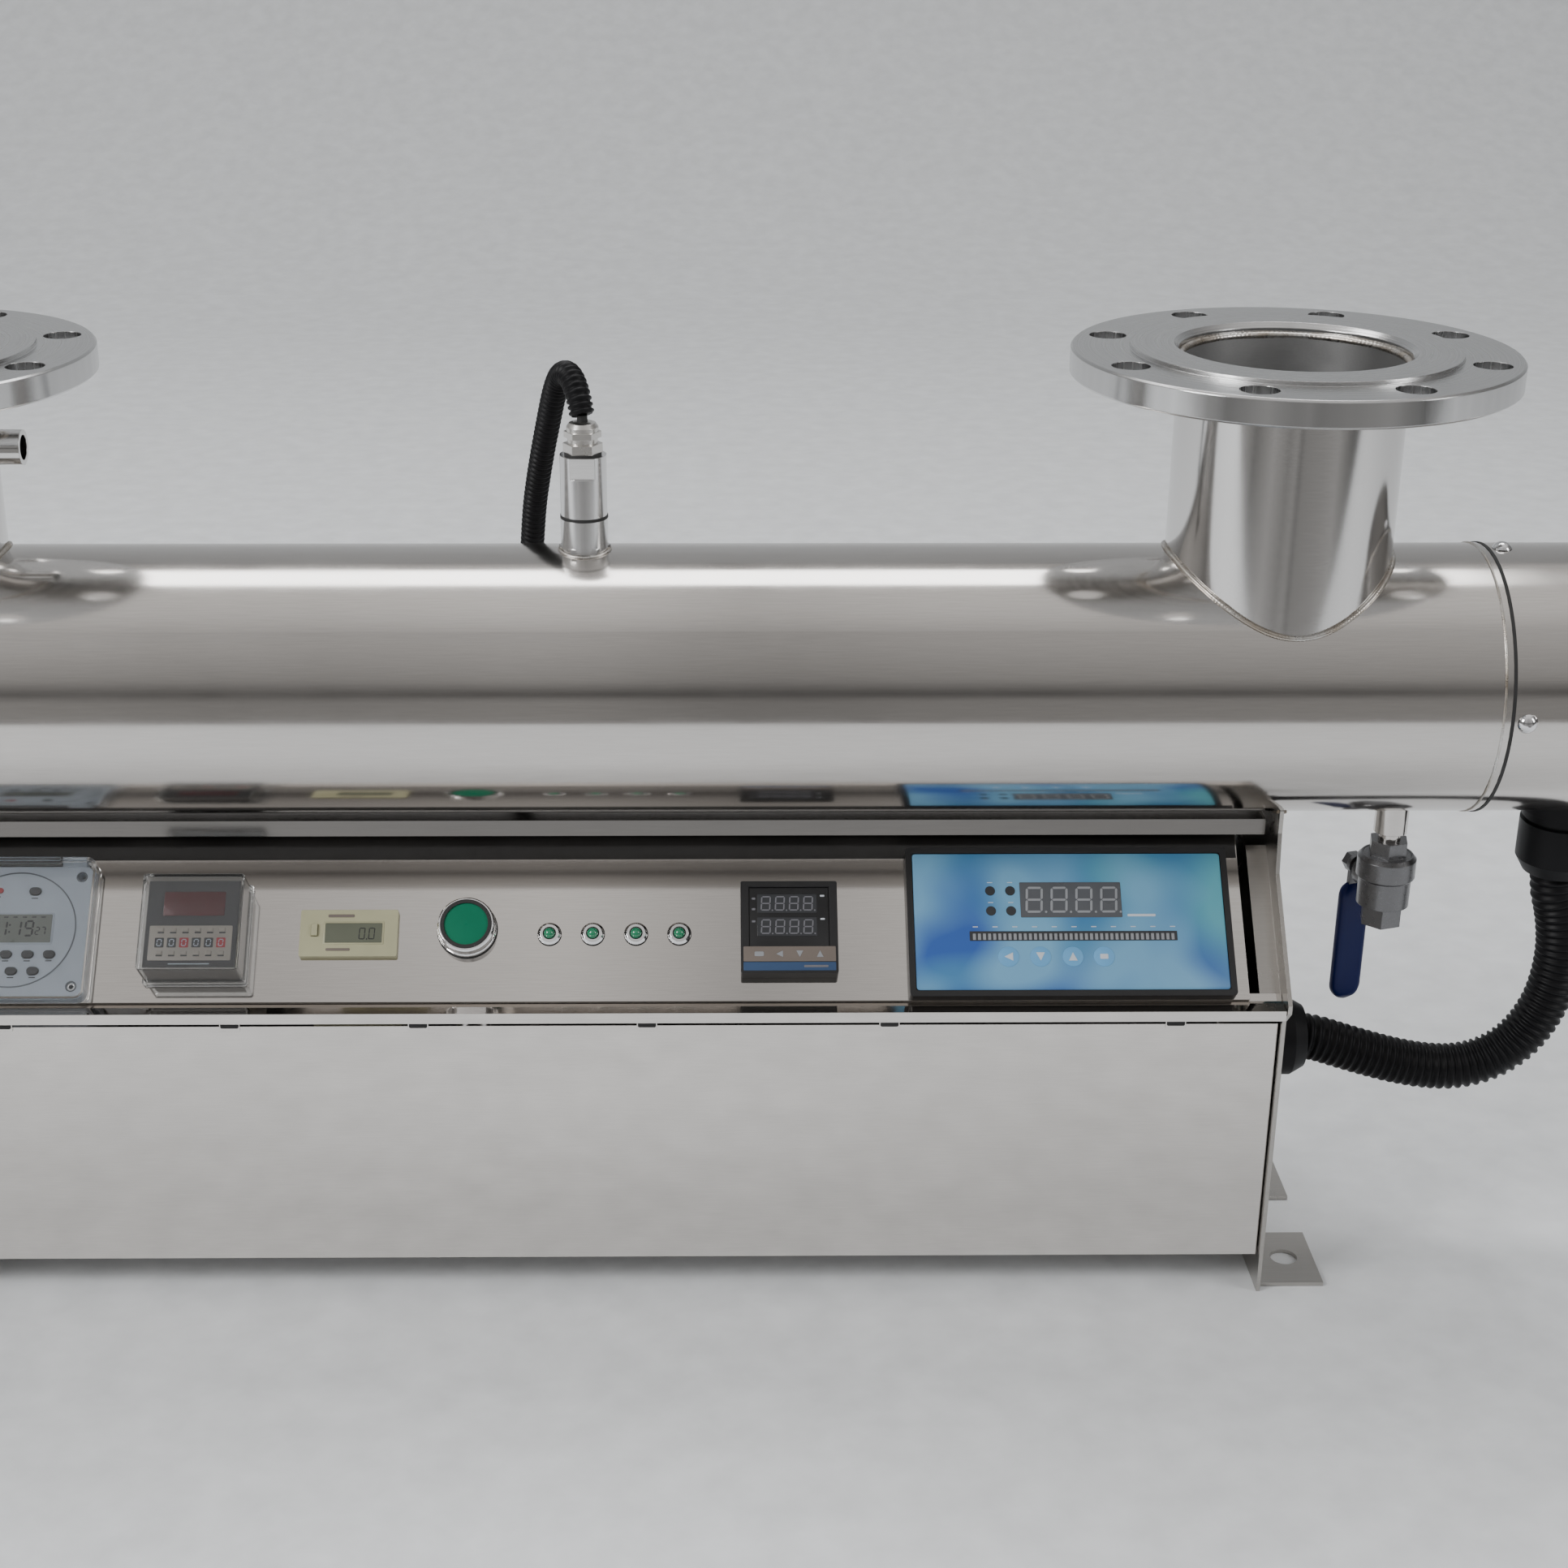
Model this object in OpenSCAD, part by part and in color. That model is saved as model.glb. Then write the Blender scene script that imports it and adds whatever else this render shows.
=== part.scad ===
// Ultraviolet water steriliser: a horizontal flanged tube chamber with four lamps in quartz
// sleeves, a UV sensor, a drain valve and an instrument cabinet between two side plates.
// Frame: X along the chamber, front towards -Y, Z up, floor at Z = 0 under the chamber's middle.

/* [Chamber] */
// Outer diameter of the chamber tube
chamber_od = 133; // [131:0.5:134]
// Wall thickness of the chamber, its necks and its end caps
wall = 2; // [1.5:0.5:2.5]
// Height of the chamber's axis above the floor
axis_h = 312.5; // [312:0.5:313]
// Distance from the middle of the chamber to the joint of each end cap
joint_x = 437.5; // [436:0.5:440]
// Length of each end cap
cap_len = 100; // [95:1:110]

/* [Ports] */
// Distance between the two port axes
port_spacing = 671; // [668:1:674]
// Outer diameter of the neck pipes
neck_od = 108; // [106:1:110]
// Height of the flanges' bolting surface above the floor
flange_top = 476; // [474:1:480]
// Outer diameter of the flanges
flange_od = 210; // [208:1:220]
// Thickness of the flanges without the raised face
flange_t = 13; // [12:0.5:16]
// Diameter of the bolt circle
bolt_circle = 180; // [178:1:182]
// Number of bolt holes
bolt_count = 8; // [4:4:8]
// Diameter of the bolt holes
bolt_hole_d = 18; // [16:0.5:19]
// Diameter of the raised sealing face
raised_face_d = 154; // [148:1:156]
// Height of the raised sealing face
raised_face_h = 2; // [1:0.5:3]

/* [Lamps] */
// Number of lamps
lamp_count = 4; // [3:1:4]
// Outer diameter of the quartz sleeves
sleeve_od = 23; // [22:0.5:24]
// Distance of the sleeves from the chamber's axis
sleeve_r = 33; // [32:0.5:34]
// Diameter of the lamp tubes
lamp_d = 15; // [14:0.5:16]

/* [Sensor and drain] */
// Place of the sensor along the chamber
sensor_x = -1; // [-5:1:5]
// Diameter of the sensor's body
sensor_d = 22.4; // [22:0.2:23]
// Place of the drain along the chamber
drain_x = 406; // [404:1:408]
// Height of the middle of the drain valve's ball
ball_z = 200; // [199:0.5:201]
// Diameter of the valve's ball
ball_d = 18; // [17:0.5:18]
// Angle of the valve's stem, away from straight back
stem_turn = 18; // [10:1:25]

/* [Cabinet] */
// Distance from the middle to the outer face of each side plate
side_x = 343.8; // [343.5:0.1:344.5]
// Thickness of the side plates and their feet
plate_t = 2; // [1.5:0.5:2]
// Thickness of the cabinet's sheets
sheet_t = 1.5; // [1.2:0.1:1.5]
// Distance from the middle to the front edge of the side plates
front_y = 70; // [69:0.5:71]
// Distance from the middle to the back edge of the side plates
back_y = 68; // [67:0.5:70]
// Width of each foot tab beyond its side plate
foot_w = 34; // [32:1:38]
// Depth of each foot tab
foot_d = 47.5; // [44:0.5:48]
// Diameter of the foot holes
foot_hole_d = 14; // [12:0.5:15]
// Half of the instrument panel's width
panel_half = 325.5; // [325:0.5:326]
// Length of the sloping instrument panel
panel_len = 89; // [88:0.5:89.5]

/* [Hidden] */
$fn = 96;

eps = 0.05;                     // gap between a part and the part welded or seated on it
chamber_id = chamber_od - 2 * wall;
ring_len = 4;                   // weld ring at each end of the chamber tube
tube_half = joint_x - ring_len;
port_x = port_spacing / 2;
neck_id = neck_od - 2 * wall;
flange_bottom = flange_top - flange_t;
neck_top = flange_top - 4;
chamber_bottom = axis_h - chamber_od / 2;
chamber_top = axis_h + chamber_od / 2;

// Lamps and their sleeves
sleeve_id = sleeve_od - 3;
sleeve_half = joint_x + 20;
lamp_half = 412;
boss_len = 10;                  // gland boss on the tube sheet, round each sleeve
boss_od = 34;
boss_id = 28.2;
spigot_len = 15;                // ring that the end cap slides over
cap_screw_x = joint_x + 7.5;

// Sampling nipple on the left neck
nipple_z = 429.5;
nipple_od = 17;
nipple_end_x = -267;

// Sensor levels
socket_hex_z = chamber_top + 2.5;
socket_top = 395;
body_bottom = 396.4;
body_top = 426;
gland_base = 427.2;
gland_top = 442;

// Drain valve levels
drain_socket_bottom = 229.5;
valve_bottom = 178.5;
barrel_bottom = 189.5;
barrel_top = 204;
tail_top = 225;
drain_bore = 10;
handle_out = 24;                // from the valve's axis to the handle's inner face
handle_t = 2.5;
handle_len = 76;
grip_start = 10;
stem_d = 8;
stem_end_d = 6;                 // the stem is thinner where it holds the handle
hub_d = 11;

// Cabinet levels and outline
door_bottom = 19.5;
door_top = 153.5;
lip_z = 166.5;                  // top of the ledge below the instrument panel
lip_y = 77.5;                   // front of the ledge
shoulder = [30.5, 219];         // top of the side plates' sloping front edge
saddle_half = 28;               // half width of the saddle under the chamber
top_z = 241.5;
strip_y = 13;
strip_bottom = 233;
panel_y = 68;                   // bottom edge of the panel's outer face
panel_z = 167.5;
gland_z = 112;                  // lamp conduit's gland on the side plate
gland_x = 493;                  // and its gland on the right end cap
flange_w = 10.4;                // flanges that the instrument panel's ends rest near
flange_drop = 5.5;
hook_places = [-290, -178, -85, 28, 148, 290];

// Instruments: [x, distance up the slope]
timer_at = [-282, 35.5];
relay_at = [-194.3, 35];
hour_at = [-119.8, 35.5];
start_at = [-61.3, 38];
lamp_at = [-20.5, 35.5];
lamp_pitch = 21.5;
indicator_count = 4;
controller_at = [98.5, 36.5];
monitor_at = [237.8, 39.6];
timer_face = 6;                 // height of the timer's face above the panel
timer_key_size = [5.6, 3.8];
timer_keys = [
    [6.1, 21], [-15.6, -12], [-5, -12], [5.6, -12], [16.2, -12], [-1.6, -20.6], [9, -20.6]
];
timer_hinge_y = 37.8;           // cover's hinge, up the slope from the timer's middle
timer_hinge_h = 3;              // and its height above the panel
timer_lug_x = 24;

// Cords: centre lines of the two corrugated conduits
lamp_conduit_d = 25;
lamp_conduit_route = [
    [371, 0, 112], [380, 0, 110], [392, 0, 106], [406, 0, 101.5], [422, 0, 97], [438, 0, 94],
    [453, 0, 93.5], [468, 0, 97], [481, 0, 105], [491, 0, 117], [498, 0, 133], [501, 0, 150],
    [501, 0, 167], [498, 0, 184], [494.5, 0, 196], [493, 0, 207]
];
sensor_conduit_d = 13;
sensor_conduit_route = [
    [-1, 0, 445], [-3, 4, 453.5], [-5.5, 10, 459], [-8.5, 17, 461], [-11.5, 24, 459],
    [-14, 30, 454], [-16.5, 35.5, 446], [-20, 43, 431], [-24.5, 52, 410], [-29, 62.5, 385],
    [-32, 73, 358], [-34, 80, 335], [-36, 84, 310], [-39, 88, 280], [-43, 92, 250],
    [-47, 97, 220], [-50.5, 102, 193], [-53.5, 106, 172], [-56, 107, 158], [-57.5, 103, 144],
    [-58, 95, 136.5], [-58, 86, 134]
];

// ---- helpers ----

module along_x(d, x0, x1) {
    translate([x0, 0, axis_h]) rotate([0, 90, 0]) cylinder(d = d, h = x1 - x0);
}

// Children drawn round the X axis of every lamp
module at_lamps() {
    for (i = [0 : lamp_count - 1])
        translate([0, 0, axis_h]) rotate([45 + i * 360 / lamp_count, 0, 0])
            translate([0, sleeve_r, 0]) rotate([0, 90, 0]) children();
}

// Tube between two distances along its own axis
module tube(d, bore, z0, z1) {
    difference() {
        translate([0, 0, z0]) cylinder(d = d, h = z1 - z0);
        translate([0, 0, z0 - 1]) cylinder(d = bore, h = z1 - z0 + 2);
    }
}

// Hexagonal prism by its size across corners
module hex(d, z0, z1) {
    translate([0, 0, z0]) cylinder(d = d, h = z1 - z0, $fn = 6);
}

// The chamber's outside, with a hair of room, for cutting what sits on it
module chamber_cut() {
    along_x(chamber_od + 2 * eps, -joint_x - cap_len - 10, joint_x + cap_len + 10);
}

// Rounded bar outline
module slot_2d(size) {
    r = size[1] / 2;
    square([size[0] - size[1], size[1]], center = true);
    for (s = [-1, 1]) translate([s * (size[0] / 2 - r), 0]) circle(r = r);
}

// Square plate outline with rounded corners
module plate_2d(size, r) {
    square([size[0] - 2 * r, size[1]], center = true);
    square([size[0], size[1] - 2 * r], center = true);
    for (x = [-1, 1], y = [-1, 1])
        translate([x * (size[0] / 2 - r), y * (size[1] / 2 - r)]) circle(r = r);
}

module plate(size, r, z0, z1) {
    translate([0, 0, z0]) linear_extrude(z1 - z0) plate_2d(size, r);
}

// Block centred on its own X and Y
module block(size, z0, z1) {
    translate([-size[0] / 2, -size[1] / 2, z0]) cube([size[0], size[1], z1 - z0]);
}

// Children placed on the sloping panel: X across, Y up the slope, Z out of the panel
module on_panel(at = [0, 0]) {
    translate([at[0], -panel_y, panel_z]) rotate([45, 0, 0]) translate([0, at[1], 0]) children();
}

// Smooth curve through a route's points, and a tube swept along it
function unit(v) = v / norm(v);
function route_at(p, i, t) =
    let (n = len(p) - 1,
         a = p[max(i - 1, 0)], b = p[i], c = p[min(i + 1, n)], d = p[min(i + 2, n)])
    0.5 * (2 * b + (c - a) * t + (2 * a - 5 * b + 4 * c - d) * t * t
           + (3 * b - a - 3 * c + d) * t * t * t);
function smooth_route(p, steps) =
    [for (i = [0 : len(p) - 2], s = [0 : steps - 1]) route_at(p, i, s / steps), p[len(p) - 1]];
function directions(c) =
    [for (i = [0 : len(c) - 1]) unit(c[min(i + 1, len(c) - 1)] - c[max(i - 1, 0)])];
function carried(side, dirs, i) =
    i == len(dirs) ? [] :
    let (s = unit(side - dirs[i] * (side * dirs[i]))) concat([s], carried(s, dirs, i + 1));

module swept_tube(route, d, sides, steps) {
    line = smooth_route(route, steps);
    dirs = directions(line);
    side = carried([0.31, 0.95, 0.11], dirs, 0);
    rings = len(line);
    points = [for (i = [0 : rings - 1], k = [0 : sides - 1])
        let (a = 360 * k / sides)
        line[i] + d / 2 * (cos(a) * side[i] + sin(a) * cross(dirs[i], side[i]))];
    wall_faces = [for (i = [0 : rings - 2], k = [0 : sides - 1])
        let (a = i * sides + k, b = i * sides + (k + 1) % sides)
        each [[a, b, b + sides], [a, b + sides, a + sides]]];
    first_face = [for (k = [0 : sides - 1]) k];
    last_face = [for (k = [sides - 1 : -1 : 0]) (rings - 1) * sides + k];
    polyhedron(points, concat([for (f = wall_faces) [f[2], f[1], f[0]]], [first_face], [last_face]));
}

// ---- chamber ----

module chamber_tube() {
    color("silver") difference() {
        along_x(chamber_od, -tube_half, tube_half);
        along_x(chamber_id, -tube_half - 1, tube_half + 1);
        for (s = [-1, 1]) translate([s * port_x, 0, axis_h]) cylinder(d = neck_id, h = chamber_od);
        translate([sensor_x, 0, axis_h]) cylinder(d = 14, h = chamber_od);
        translate([drain_x, 0, axis_h - chamber_od]) cylinder(d = drain_bore, h = chamber_od);
    }
}

module port_necks() {
    color("silver") difference() {
        for (s = [-1, 1]) translate([s * port_x, 0, 0]) tube(neck_od, neck_id, axis_h, neck_top);
        chamber_cut();
        translate([-port_x, 0, nipple_z]) rotate([0, 90, 0]) cylinder(d = 12, h = neck_od);
    }
}

module port_flanges() {
    bore_r = neck_od / 2 + 0.15;
    edge = 1;
    color("silver") for (s = [-1, 1]) translate([s * port_x, 0, flange_bottom]) difference() {
        rotate_extrude() polygon([
            [bore_r, 0], [flange_od / 2 - edge, 0], [flange_od / 2, edge],
            [flange_od / 2, flange_t - edge], [flange_od / 2 - edge, flange_t],
            [raised_face_d / 2 + 0.5, flange_t], [raised_face_d / 2, flange_t + raised_face_h],
            [bore_r + 2.5, flange_t + raised_face_h], [bore_r, flange_t + raised_face_h - 2.5]
        ]);
        for (i = [0 : bolt_count - 1]) rotate(180 / bolt_count + i * 360 / bolt_count)
            translate([bolt_circle / 2, 0, -1]) cylinder(d = bolt_hole_d, h = flange_t + 2);
    }
}

module tube_sheet() {
    difference() {
        union() {
            along_x(chamber_od + 0.6, tube_half + eps, joint_x);
            along_x(chamber_id - 2 * eps, tube_half - 4, tube_half + 1);
            along_x(chamber_id - 0.6, joint_x - 1, joint_x + spigot_len);
        }
        along_x(chamber_id - 7, joint_x, joint_x + spigot_len + 1);
        at_lamps() translate([0, 0, tube_half - 10]) cylinder(d = sleeve_od + 0.6, h = 20);
        cap_screw_holes(4.8);
    }
    at_lamps() translate([0, 0, joint_x - 0.5]) tube(boss_od, boss_id, 0, boss_len + 0.5);
}

// Four radial screw holes through an end cap and its spigot
module cap_screw_holes(d) {
    for (a = [0 : 90 : 270]) translate([cap_screw_x, 0, axis_h]) rotate([a, 0, 0])
        cylinder(d = d, h = chamber_od);
}

module both_ends() {
    children();
    mirror([1, 0, 0]) children();
}

module tube_sheets() {
    color("silver") both_ends() tube_sheet();
}

module baffle_plates() {
    color("lightgray") for (i = [0 : 3]) {
        x = -200 + i * 400 / 3;
        up = i % 2 == 0 ? 1 : -1;
        difference() {
            along_x(chamber_id - 0.4, x, x + 1.5);
            at_lamps() translate([0, 0, x - 1]) cylinder(d = sleeve_od + 0.8, h = 4);
            translate([x - 1, -chamber_od / 2, axis_h + up * 60 - 12])
                cube([4, chamber_od, 24]);
        }
    }
}

module quartz_sleeves() {
    color("lightcyan", 0.4) at_lamps() tube(sleeve_od, sleeve_id, -sleeve_half, sleeve_half);
}

module uv_lamps() {
    color("white") at_lamps() translate([0, 0, -lamp_half]) cylinder(d = lamp_d, h = 2 * lamp_half);
}

// Ceramic bases on both ends of each lamp, and the four-pin connector on the right end
module lamp_ends() {
    base = 12;
    color("ivory") at_lamps() {
        for (s = [0, 1]) mirror([0, 0, s]) difference() {
            translate([0, 0, lamp_half - base]) cylinder(d = lamp_d + 2, h = base + 6);
            translate([0, 0, lamp_half - base - 1]) cylinder(d = lamp_d + 0.1, h = base + 1.1);
        }
        translate([0, 0, lamp_half + 6.1]) cylinder(d = sleeve_id - 0.8, h = 30);
    }
}

module seal_ring(r, section) {
    rotate_extrude() translate([r, 0]) circle(r = section / 2, $fn = 32);
}

module rubber_seals() {
    color("dimgray") {
        both_ends() at_lamps() translate([0, 0, joint_x + 1.6])
            seal_ring((sleeve_od + boss_id) / 4, 2.4);
        translate([sensor_x, 0, 0]) tube(sensor_d + 0.8, 14, socket_top + eps, body_bottom - eps);
        translate([sensor_x, 0, 0]) tube(18, 12.4, body_top + eps, gland_base - eps);
    }
}

module sleeve_nuts() {
    seat = joint_x + boss_len + 0.1;
    color("gainsboro") both_ends() at_lamps() difference() {
        union() {
            hex(42, seat, seat + 7);
            translate([0, 0, seat - 6.5]) cylinder(d = boss_id - 0.4, h = 7);
        }
        translate([0, 0, seat - 10]) cylinder(d = sleeve_od + 0.5, h = 30);
    }
}

module end_cap() {
    r = 4;
    len_in = cap_len - r;
    out = chamber_od / 2;
    difference() {
        translate([joint_x + 0.3, 0, axis_h]) rotate([0, 90, 0]) rotate_extrude() {
            translate([out - wall, 0]) square([wall, len_in]);
            translate([0, cap_len - wall]) square([out - r, wall]);
            intersection() {
                translate([out - r, len_in]) difference() {
                    circle(r = r);
                    circle(r = r - wall);
                }
                translate([out - r, len_in]) square(r);
            }
        }
        cap_screw_holes(5.4);
    }
}

module end_caps() {
    color("silver") {
        difference() {
            end_cap();
            translate([gland_x, 0, chamber_bottom - 10]) cylinder(d = 25.4, h = 20);
        }
        mirror([1, 0, 0]) end_cap();
    }
}

module end_cap_screws() {
    head_r = 4.9;
    head_h = 3.2;
    ball_r = (head_r * head_r + head_h * head_h) / (2 * head_h);
    color("gainsboro") both_ends() for (a = [0 : 90 : 270])
        translate([cap_screw_x, 0, axis_h]) rotate([a, 0, 0]) {
            translate([0, 0, chamber_od / 2 + eps]) rotate_extrude() intersection() {
                translate([0, head_h - ball_r]) circle(r = ball_r);
                square([head_r, head_h]);
            }
            translate([0, 0, chamber_od / 2 - 8]) cylinder(d = 4.6, h = 8 + 2 * eps);
        }
}

module sampling_nipple() {
    color("silver") difference() {
        translate([-port_x, 0, nipple_z]) rotate([0, 90, 0])
            tube(nipple_od, 12, neck_od / 2 - 6, nipple_end_x + port_x);
        translate([-port_x, 0, axis_h]) cylinder(d = neck_od + 2 * eps, h = neck_od * 2);
    }
}

// ---- sensor ----

module sensor_socket() {
    color("silver") difference() {
        translate([sensor_x, 0, 0]) union() {
            hex(25, chamber_top - 8, socket_hex_z);
            translate([0, 0, chamber_top]) cylinder(d = 22.8, h = socket_top - chamber_top);
        }
        chamber_cut();
        translate([sensor_x, 0, axis_h]) cylinder(d = 14, h = chamber_od);
    }
}

module sensor_body() {
    flat_y = 9.46;
    color("silver") translate([sensor_x, 0, 0]) difference() {
        union() {
            translate([0, 0, body_bottom]) cylinder(d = sensor_d, h = body_top - body_bottom);
            translate([0, 0, 380.2]) cylinder(d = 13.9, h = 17);
        }
        translate([0, 0, 402]) cylinder(d = 12.4, h = 30);
        translate([0, 0, 375]) cylinder(d = 8, h = 30);
        for (s = [-1, 1]) translate([0, s * (flat_y + 5), 425.8])
            cube([30, 10, 20], center = true);
    }
}

module sensor_window() {
    color("lightcyan", 0.5) translate([sensor_x, 0, 377]) cylinder(d = 13.8, h = 3);
}

module sensor_gland() {
    color("gainsboro") translate([sensor_x, 0, 0]) difference() {
        union() {
            translate([0, 0, 417]) cylinder(d = 12.2, h = gland_base - 417);
            hex(19, gland_base, 431.6);
            translate([0, 0, 431]) cylinder(d = 14.6, h = 4);
            hex(18, 434.4, 437.4);
            rotate_extrude() polygon([
                [0, 437], [7.7, 437], [7.7, 439.5], [6.4, 441.4], [4.6, gland_top], [0, gland_top]
            ]);
        }
        translate([0, 0, 410]) cylinder(d = 5.2, h = 40);
    }
}

module sensor_cable() {
    color("black") translate([sensor_x, 0, 405]) cylinder(d = 5, h = 40);
}

module sensor_conduit() {
    color("black") swept_tube(sensor_conduit_route, sensor_conduit_d, 10, 2);
}

// ---- drain valve ----

module drain_socket() {
    color("silver") difference() {
        translate([drain_x, 0, 0]) union() {
            translate([0, 0, drain_socket_bottom]) cylinder(d = 16.8, h = 30);
            translate([0, 0, tail_top - 8]) cylinder(d = 11.3, h = 12);
        }
        chamber_cut();
        translate([drain_x, 0, tail_top - 10]) cylinder(d = 8, h = 60);
    }
}

module at_valve() {
    translate([drain_x, 0, ball_z]) rotate([0, 0, stem_turn]) children();
}

// Cylinder along the stem, from one distance to another
module along_stem(d, y0, y1) {
    translate([0, y0, 0]) rotate([-90, 0, 0]) cylinder(d = d, h = y1 - y0);
}

module valve_body() {
    color("darkgray") difference() {
        at_valve() union() {
            hex(22, valve_bottom - ball_z, barrel_bottom - ball_z + 1);
            translate([0, 0, barrel_bottom - ball_z]) cylinder(d = 26.3, h = barrel_top - barrel_bottom + 1);
            rotate_extrude() polygon([[0, 4], [13.6, 4], [14.75, 5.2], [14.75, 15], [13, 17], [0, 17]]);
            along_stem(16, 0, 18);
        }
        at_valve() {
            translate([0, 0, -10]) cylinder(d = 20, h = 20.1);
            translate([0, 0, 10]) cylinder(d = 24.2, h = 20);
            translate([0, 0, -40]) cylinder(d = drain_bore, h = 40);
            along_stem(8.16, 0, 30);
        }
    }
}

module valve_tailpiece() {
    color("darkgray") at_valve() difference() {
        union() {
            translate([0, 0, 10.2]) cylinder(d = 24, h = 6.6);
            hex(20.5, 16, tail_top - ball_z);
        }
        translate([0, 0, 0]) cylinder(d = drain_bore, h = 16);
        translate([0, 0, 15]) cylinder(d = 11.4, h = 20);
    }
}

module valve_seats() {
    color("white") at_valve() difference() {
        for (z = [-9.9, 5.1]) translate([0, 0, z]) tube(19.8, 11, 0, 4.8);
        sphere(d = ball_d + 0.1);
    }
}

module valve_ball() {
    color("gainsboro") at_valve() difference() {
        sphere(d = ball_d);
        cylinder(d = drain_bore, h = 40, center = true);
        translate([-ball_d, 6.1, -1.6]) cube([2 * ball_d, 5, 3.2]);
    }
}

module valve_stem() {
    color("gainsboro") at_valve() {
        along_stem(stem_d, 9.1, handle_out - 0.1);
        along_stem(stem_end_d, handle_out - 1, handle_out + 9);
        translate([-2.8, 6.3, -1.5]) cube([5.6, 3.2, 3]);
    }
}

module valve_handle() {
    color("silver") at_valve() difference() {
        translate([0, handle_out, 0]) rotate([-90, 0, 0]) linear_extrude(handle_t) {
            circle(d = hub_d);
            translate([-4.5, 0]) square([9, grip_start + 5]);
            translate([-6.5, grip_start + 3]) square([13, handle_len - grip_start - 11]);
            translate([0, handle_len - 8]) circle(d = 13);
        }
        along_stem(stem_end_d + 0.2, 0, 60);
    }
}

module handle_sleeve() {
    t = 3.4;
    color("navy") at_valve() difference() {
        translate([0, handle_out - t / 2, 0]) rotate([-90, 0, 0]) linear_extrude(handle_t + t) {
            translate([-8.6, grip_start + 4]) square([17.2, handle_len - grip_start - 10.6]);
            translate([-4.6, grip_start]) square([9.2, 10]);
            for (s = [-1, 1]) translate([s * 4.6, grip_start + 4]) circle(r = 4);
            translate([0, handle_len - 6.6]) circle(d = 17.2);
        }
        translate([0, handle_out - 0.05, 0]) rotate([-90, 0, 0]) linear_extrude(handle_t + 0.1) {
            translate([-6.6, 0]) square([13.2, handle_len - 8]);
            translate([0, handle_len - 8]) circle(d = 13.2);
        }
    }
}

module handle_nut() {
    color("gainsboro") at_valve() translate([0, handle_out + handle_t + 0.05, 0]) rotate([-90, 0, 0])
        difference() {
            hex(hub_d, 0, 5);
            translate([0, 0, -1]) cylinder(d = stem_end_d + 0.1, h = 10);
        }
}

// ---- conduits and glands ----

// Gland of the lamp conduit: seat, hexagon and tapered nut on its own Z axis
module conduit_gland(len) {
    difference() {
        rotate_extrude() polygon([
            [0, -7], [12.5, -7], [12.5, 0], [20, 0], [20, 7], [18.5, 7.6], [18.5, 8.6],
            [20.5, 9.2], [20.5, len - 7], [16.5, len], [0, len]
        ]);
        translate([0, 0, -10]) cylinder(d = 21, h = len + 20);
        translate([0, 0, len - 1]) cylinder(d = lamp_conduit_d, h = 10);
    }
}

module conduit_glands() {
    color("black") {
        translate([side_x + eps, 0, gland_z]) rotate([0, 90, 0]) conduit_gland(27);
        difference() {
            translate([gland_x, 0, chamber_bottom - 1]) rotate([180, 0, 0]) {
                conduit_gland(37);
                translate([0, 0, -6]) tube(43, 25, 0, 9);
            }
            difference() {
                chamber_cut();
                translate([gland_x, 0, 0]) cylinder(d = 25, h = axis_h);
            }
        }
    }
}

// Small glands: the sensor conduit's on the back panel, and the supply inlet on the left plate
module entry_gland(bore) {
    difference() {
        union() {
            translate([0, 0, -6]) cylinder(d = 12, h = 7);
            hex(21, 0, 6);
            rotate_extrude() polygon([[0, 5], [8.5, 5], [8.5, 15], [7, 20], [0, 20]]);
        }
        translate([0, 0, -10]) cylinder(d = bore, h = 40);
    }
}

module entry_glands() {
    color("black") {
        translate([-58, 65.5 + eps, 134]) rotate([-90, 0, 0]) entry_gland(9);
        translate([-side_x - eps, 20, gland_z]) rotate([0, -90, 0]) entry_gland(9);
    }
}

module lamp_conduit() {
    color("black") swept_tube(lamp_conduit_route, lamp_conduit_d, 12, 2);
}

// ---- cabinet ----

module side_plate_2d() {
    difference() {
        polygon([
            [-front_y, 0], [-front_y, 157], [-lip_y - 1.5, lip_z - 1], [-lip_y - 1.5, lip_z + 3.5],
            [-shoulder[0], shoulder[1]], [-saddle_half, 240], [-saddle_half, 256],
            [saddle_half, 256], [saddle_half + 8, top_z + 2], [back_y, top_z + 2], [back_y, 0]
        ]);
        translate([0, axis_h]) circle(r = chamber_od / 2 + eps);
    }
}

// A side plate with its two foot tabs and a flange beside the panel, drawn for the right side
module side_plate() {
    translate([side_x - plate_t, 0, 0]) rotate([90, 0, 90]) linear_extrude(plate_t) side_plate_2d();
    on_panel() translate([side_x - plate_t - flange_w, 3, -flange_drop])
        cube([flange_w + 0.5, panel_len - 8, sheet_t]);
    for (s = [-1, 1]) difference() {
        translate([side_x - 1, s > 0 ? 65.5 - foot_d : -65.5, 0]) cube([foot_w + 1, foot_d, plate_t]);
        translate([side_x + 18.5, s * 41.5, -1]) cylinder(d = foot_hole_d, h = 5);
    }
}

module right_side_plate() {
    color("silver") difference() {
        side_plate();
        translate([side_x - 5, 0, gland_z]) rotate([0, 90, 0]) cylinder(d = 25.4, h = 10);
    }
}

module left_side_plate() {
    color("silver") mirror([1, 0, 0]) difference() {
        side_plate();
        translate([side_x - 5, 20, gland_z]) rotate([0, 90, 0]) cylinder(d = 12.4, h = 10);
    }
}

// Folded sheet: a bar along X with the given outline in Y and Z
module bar(half, y0, y1, z0, z1) {
    translate([-half, y0, z0]) cube([2 * half, y1 - y0, z1 - z0]);
}

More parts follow.
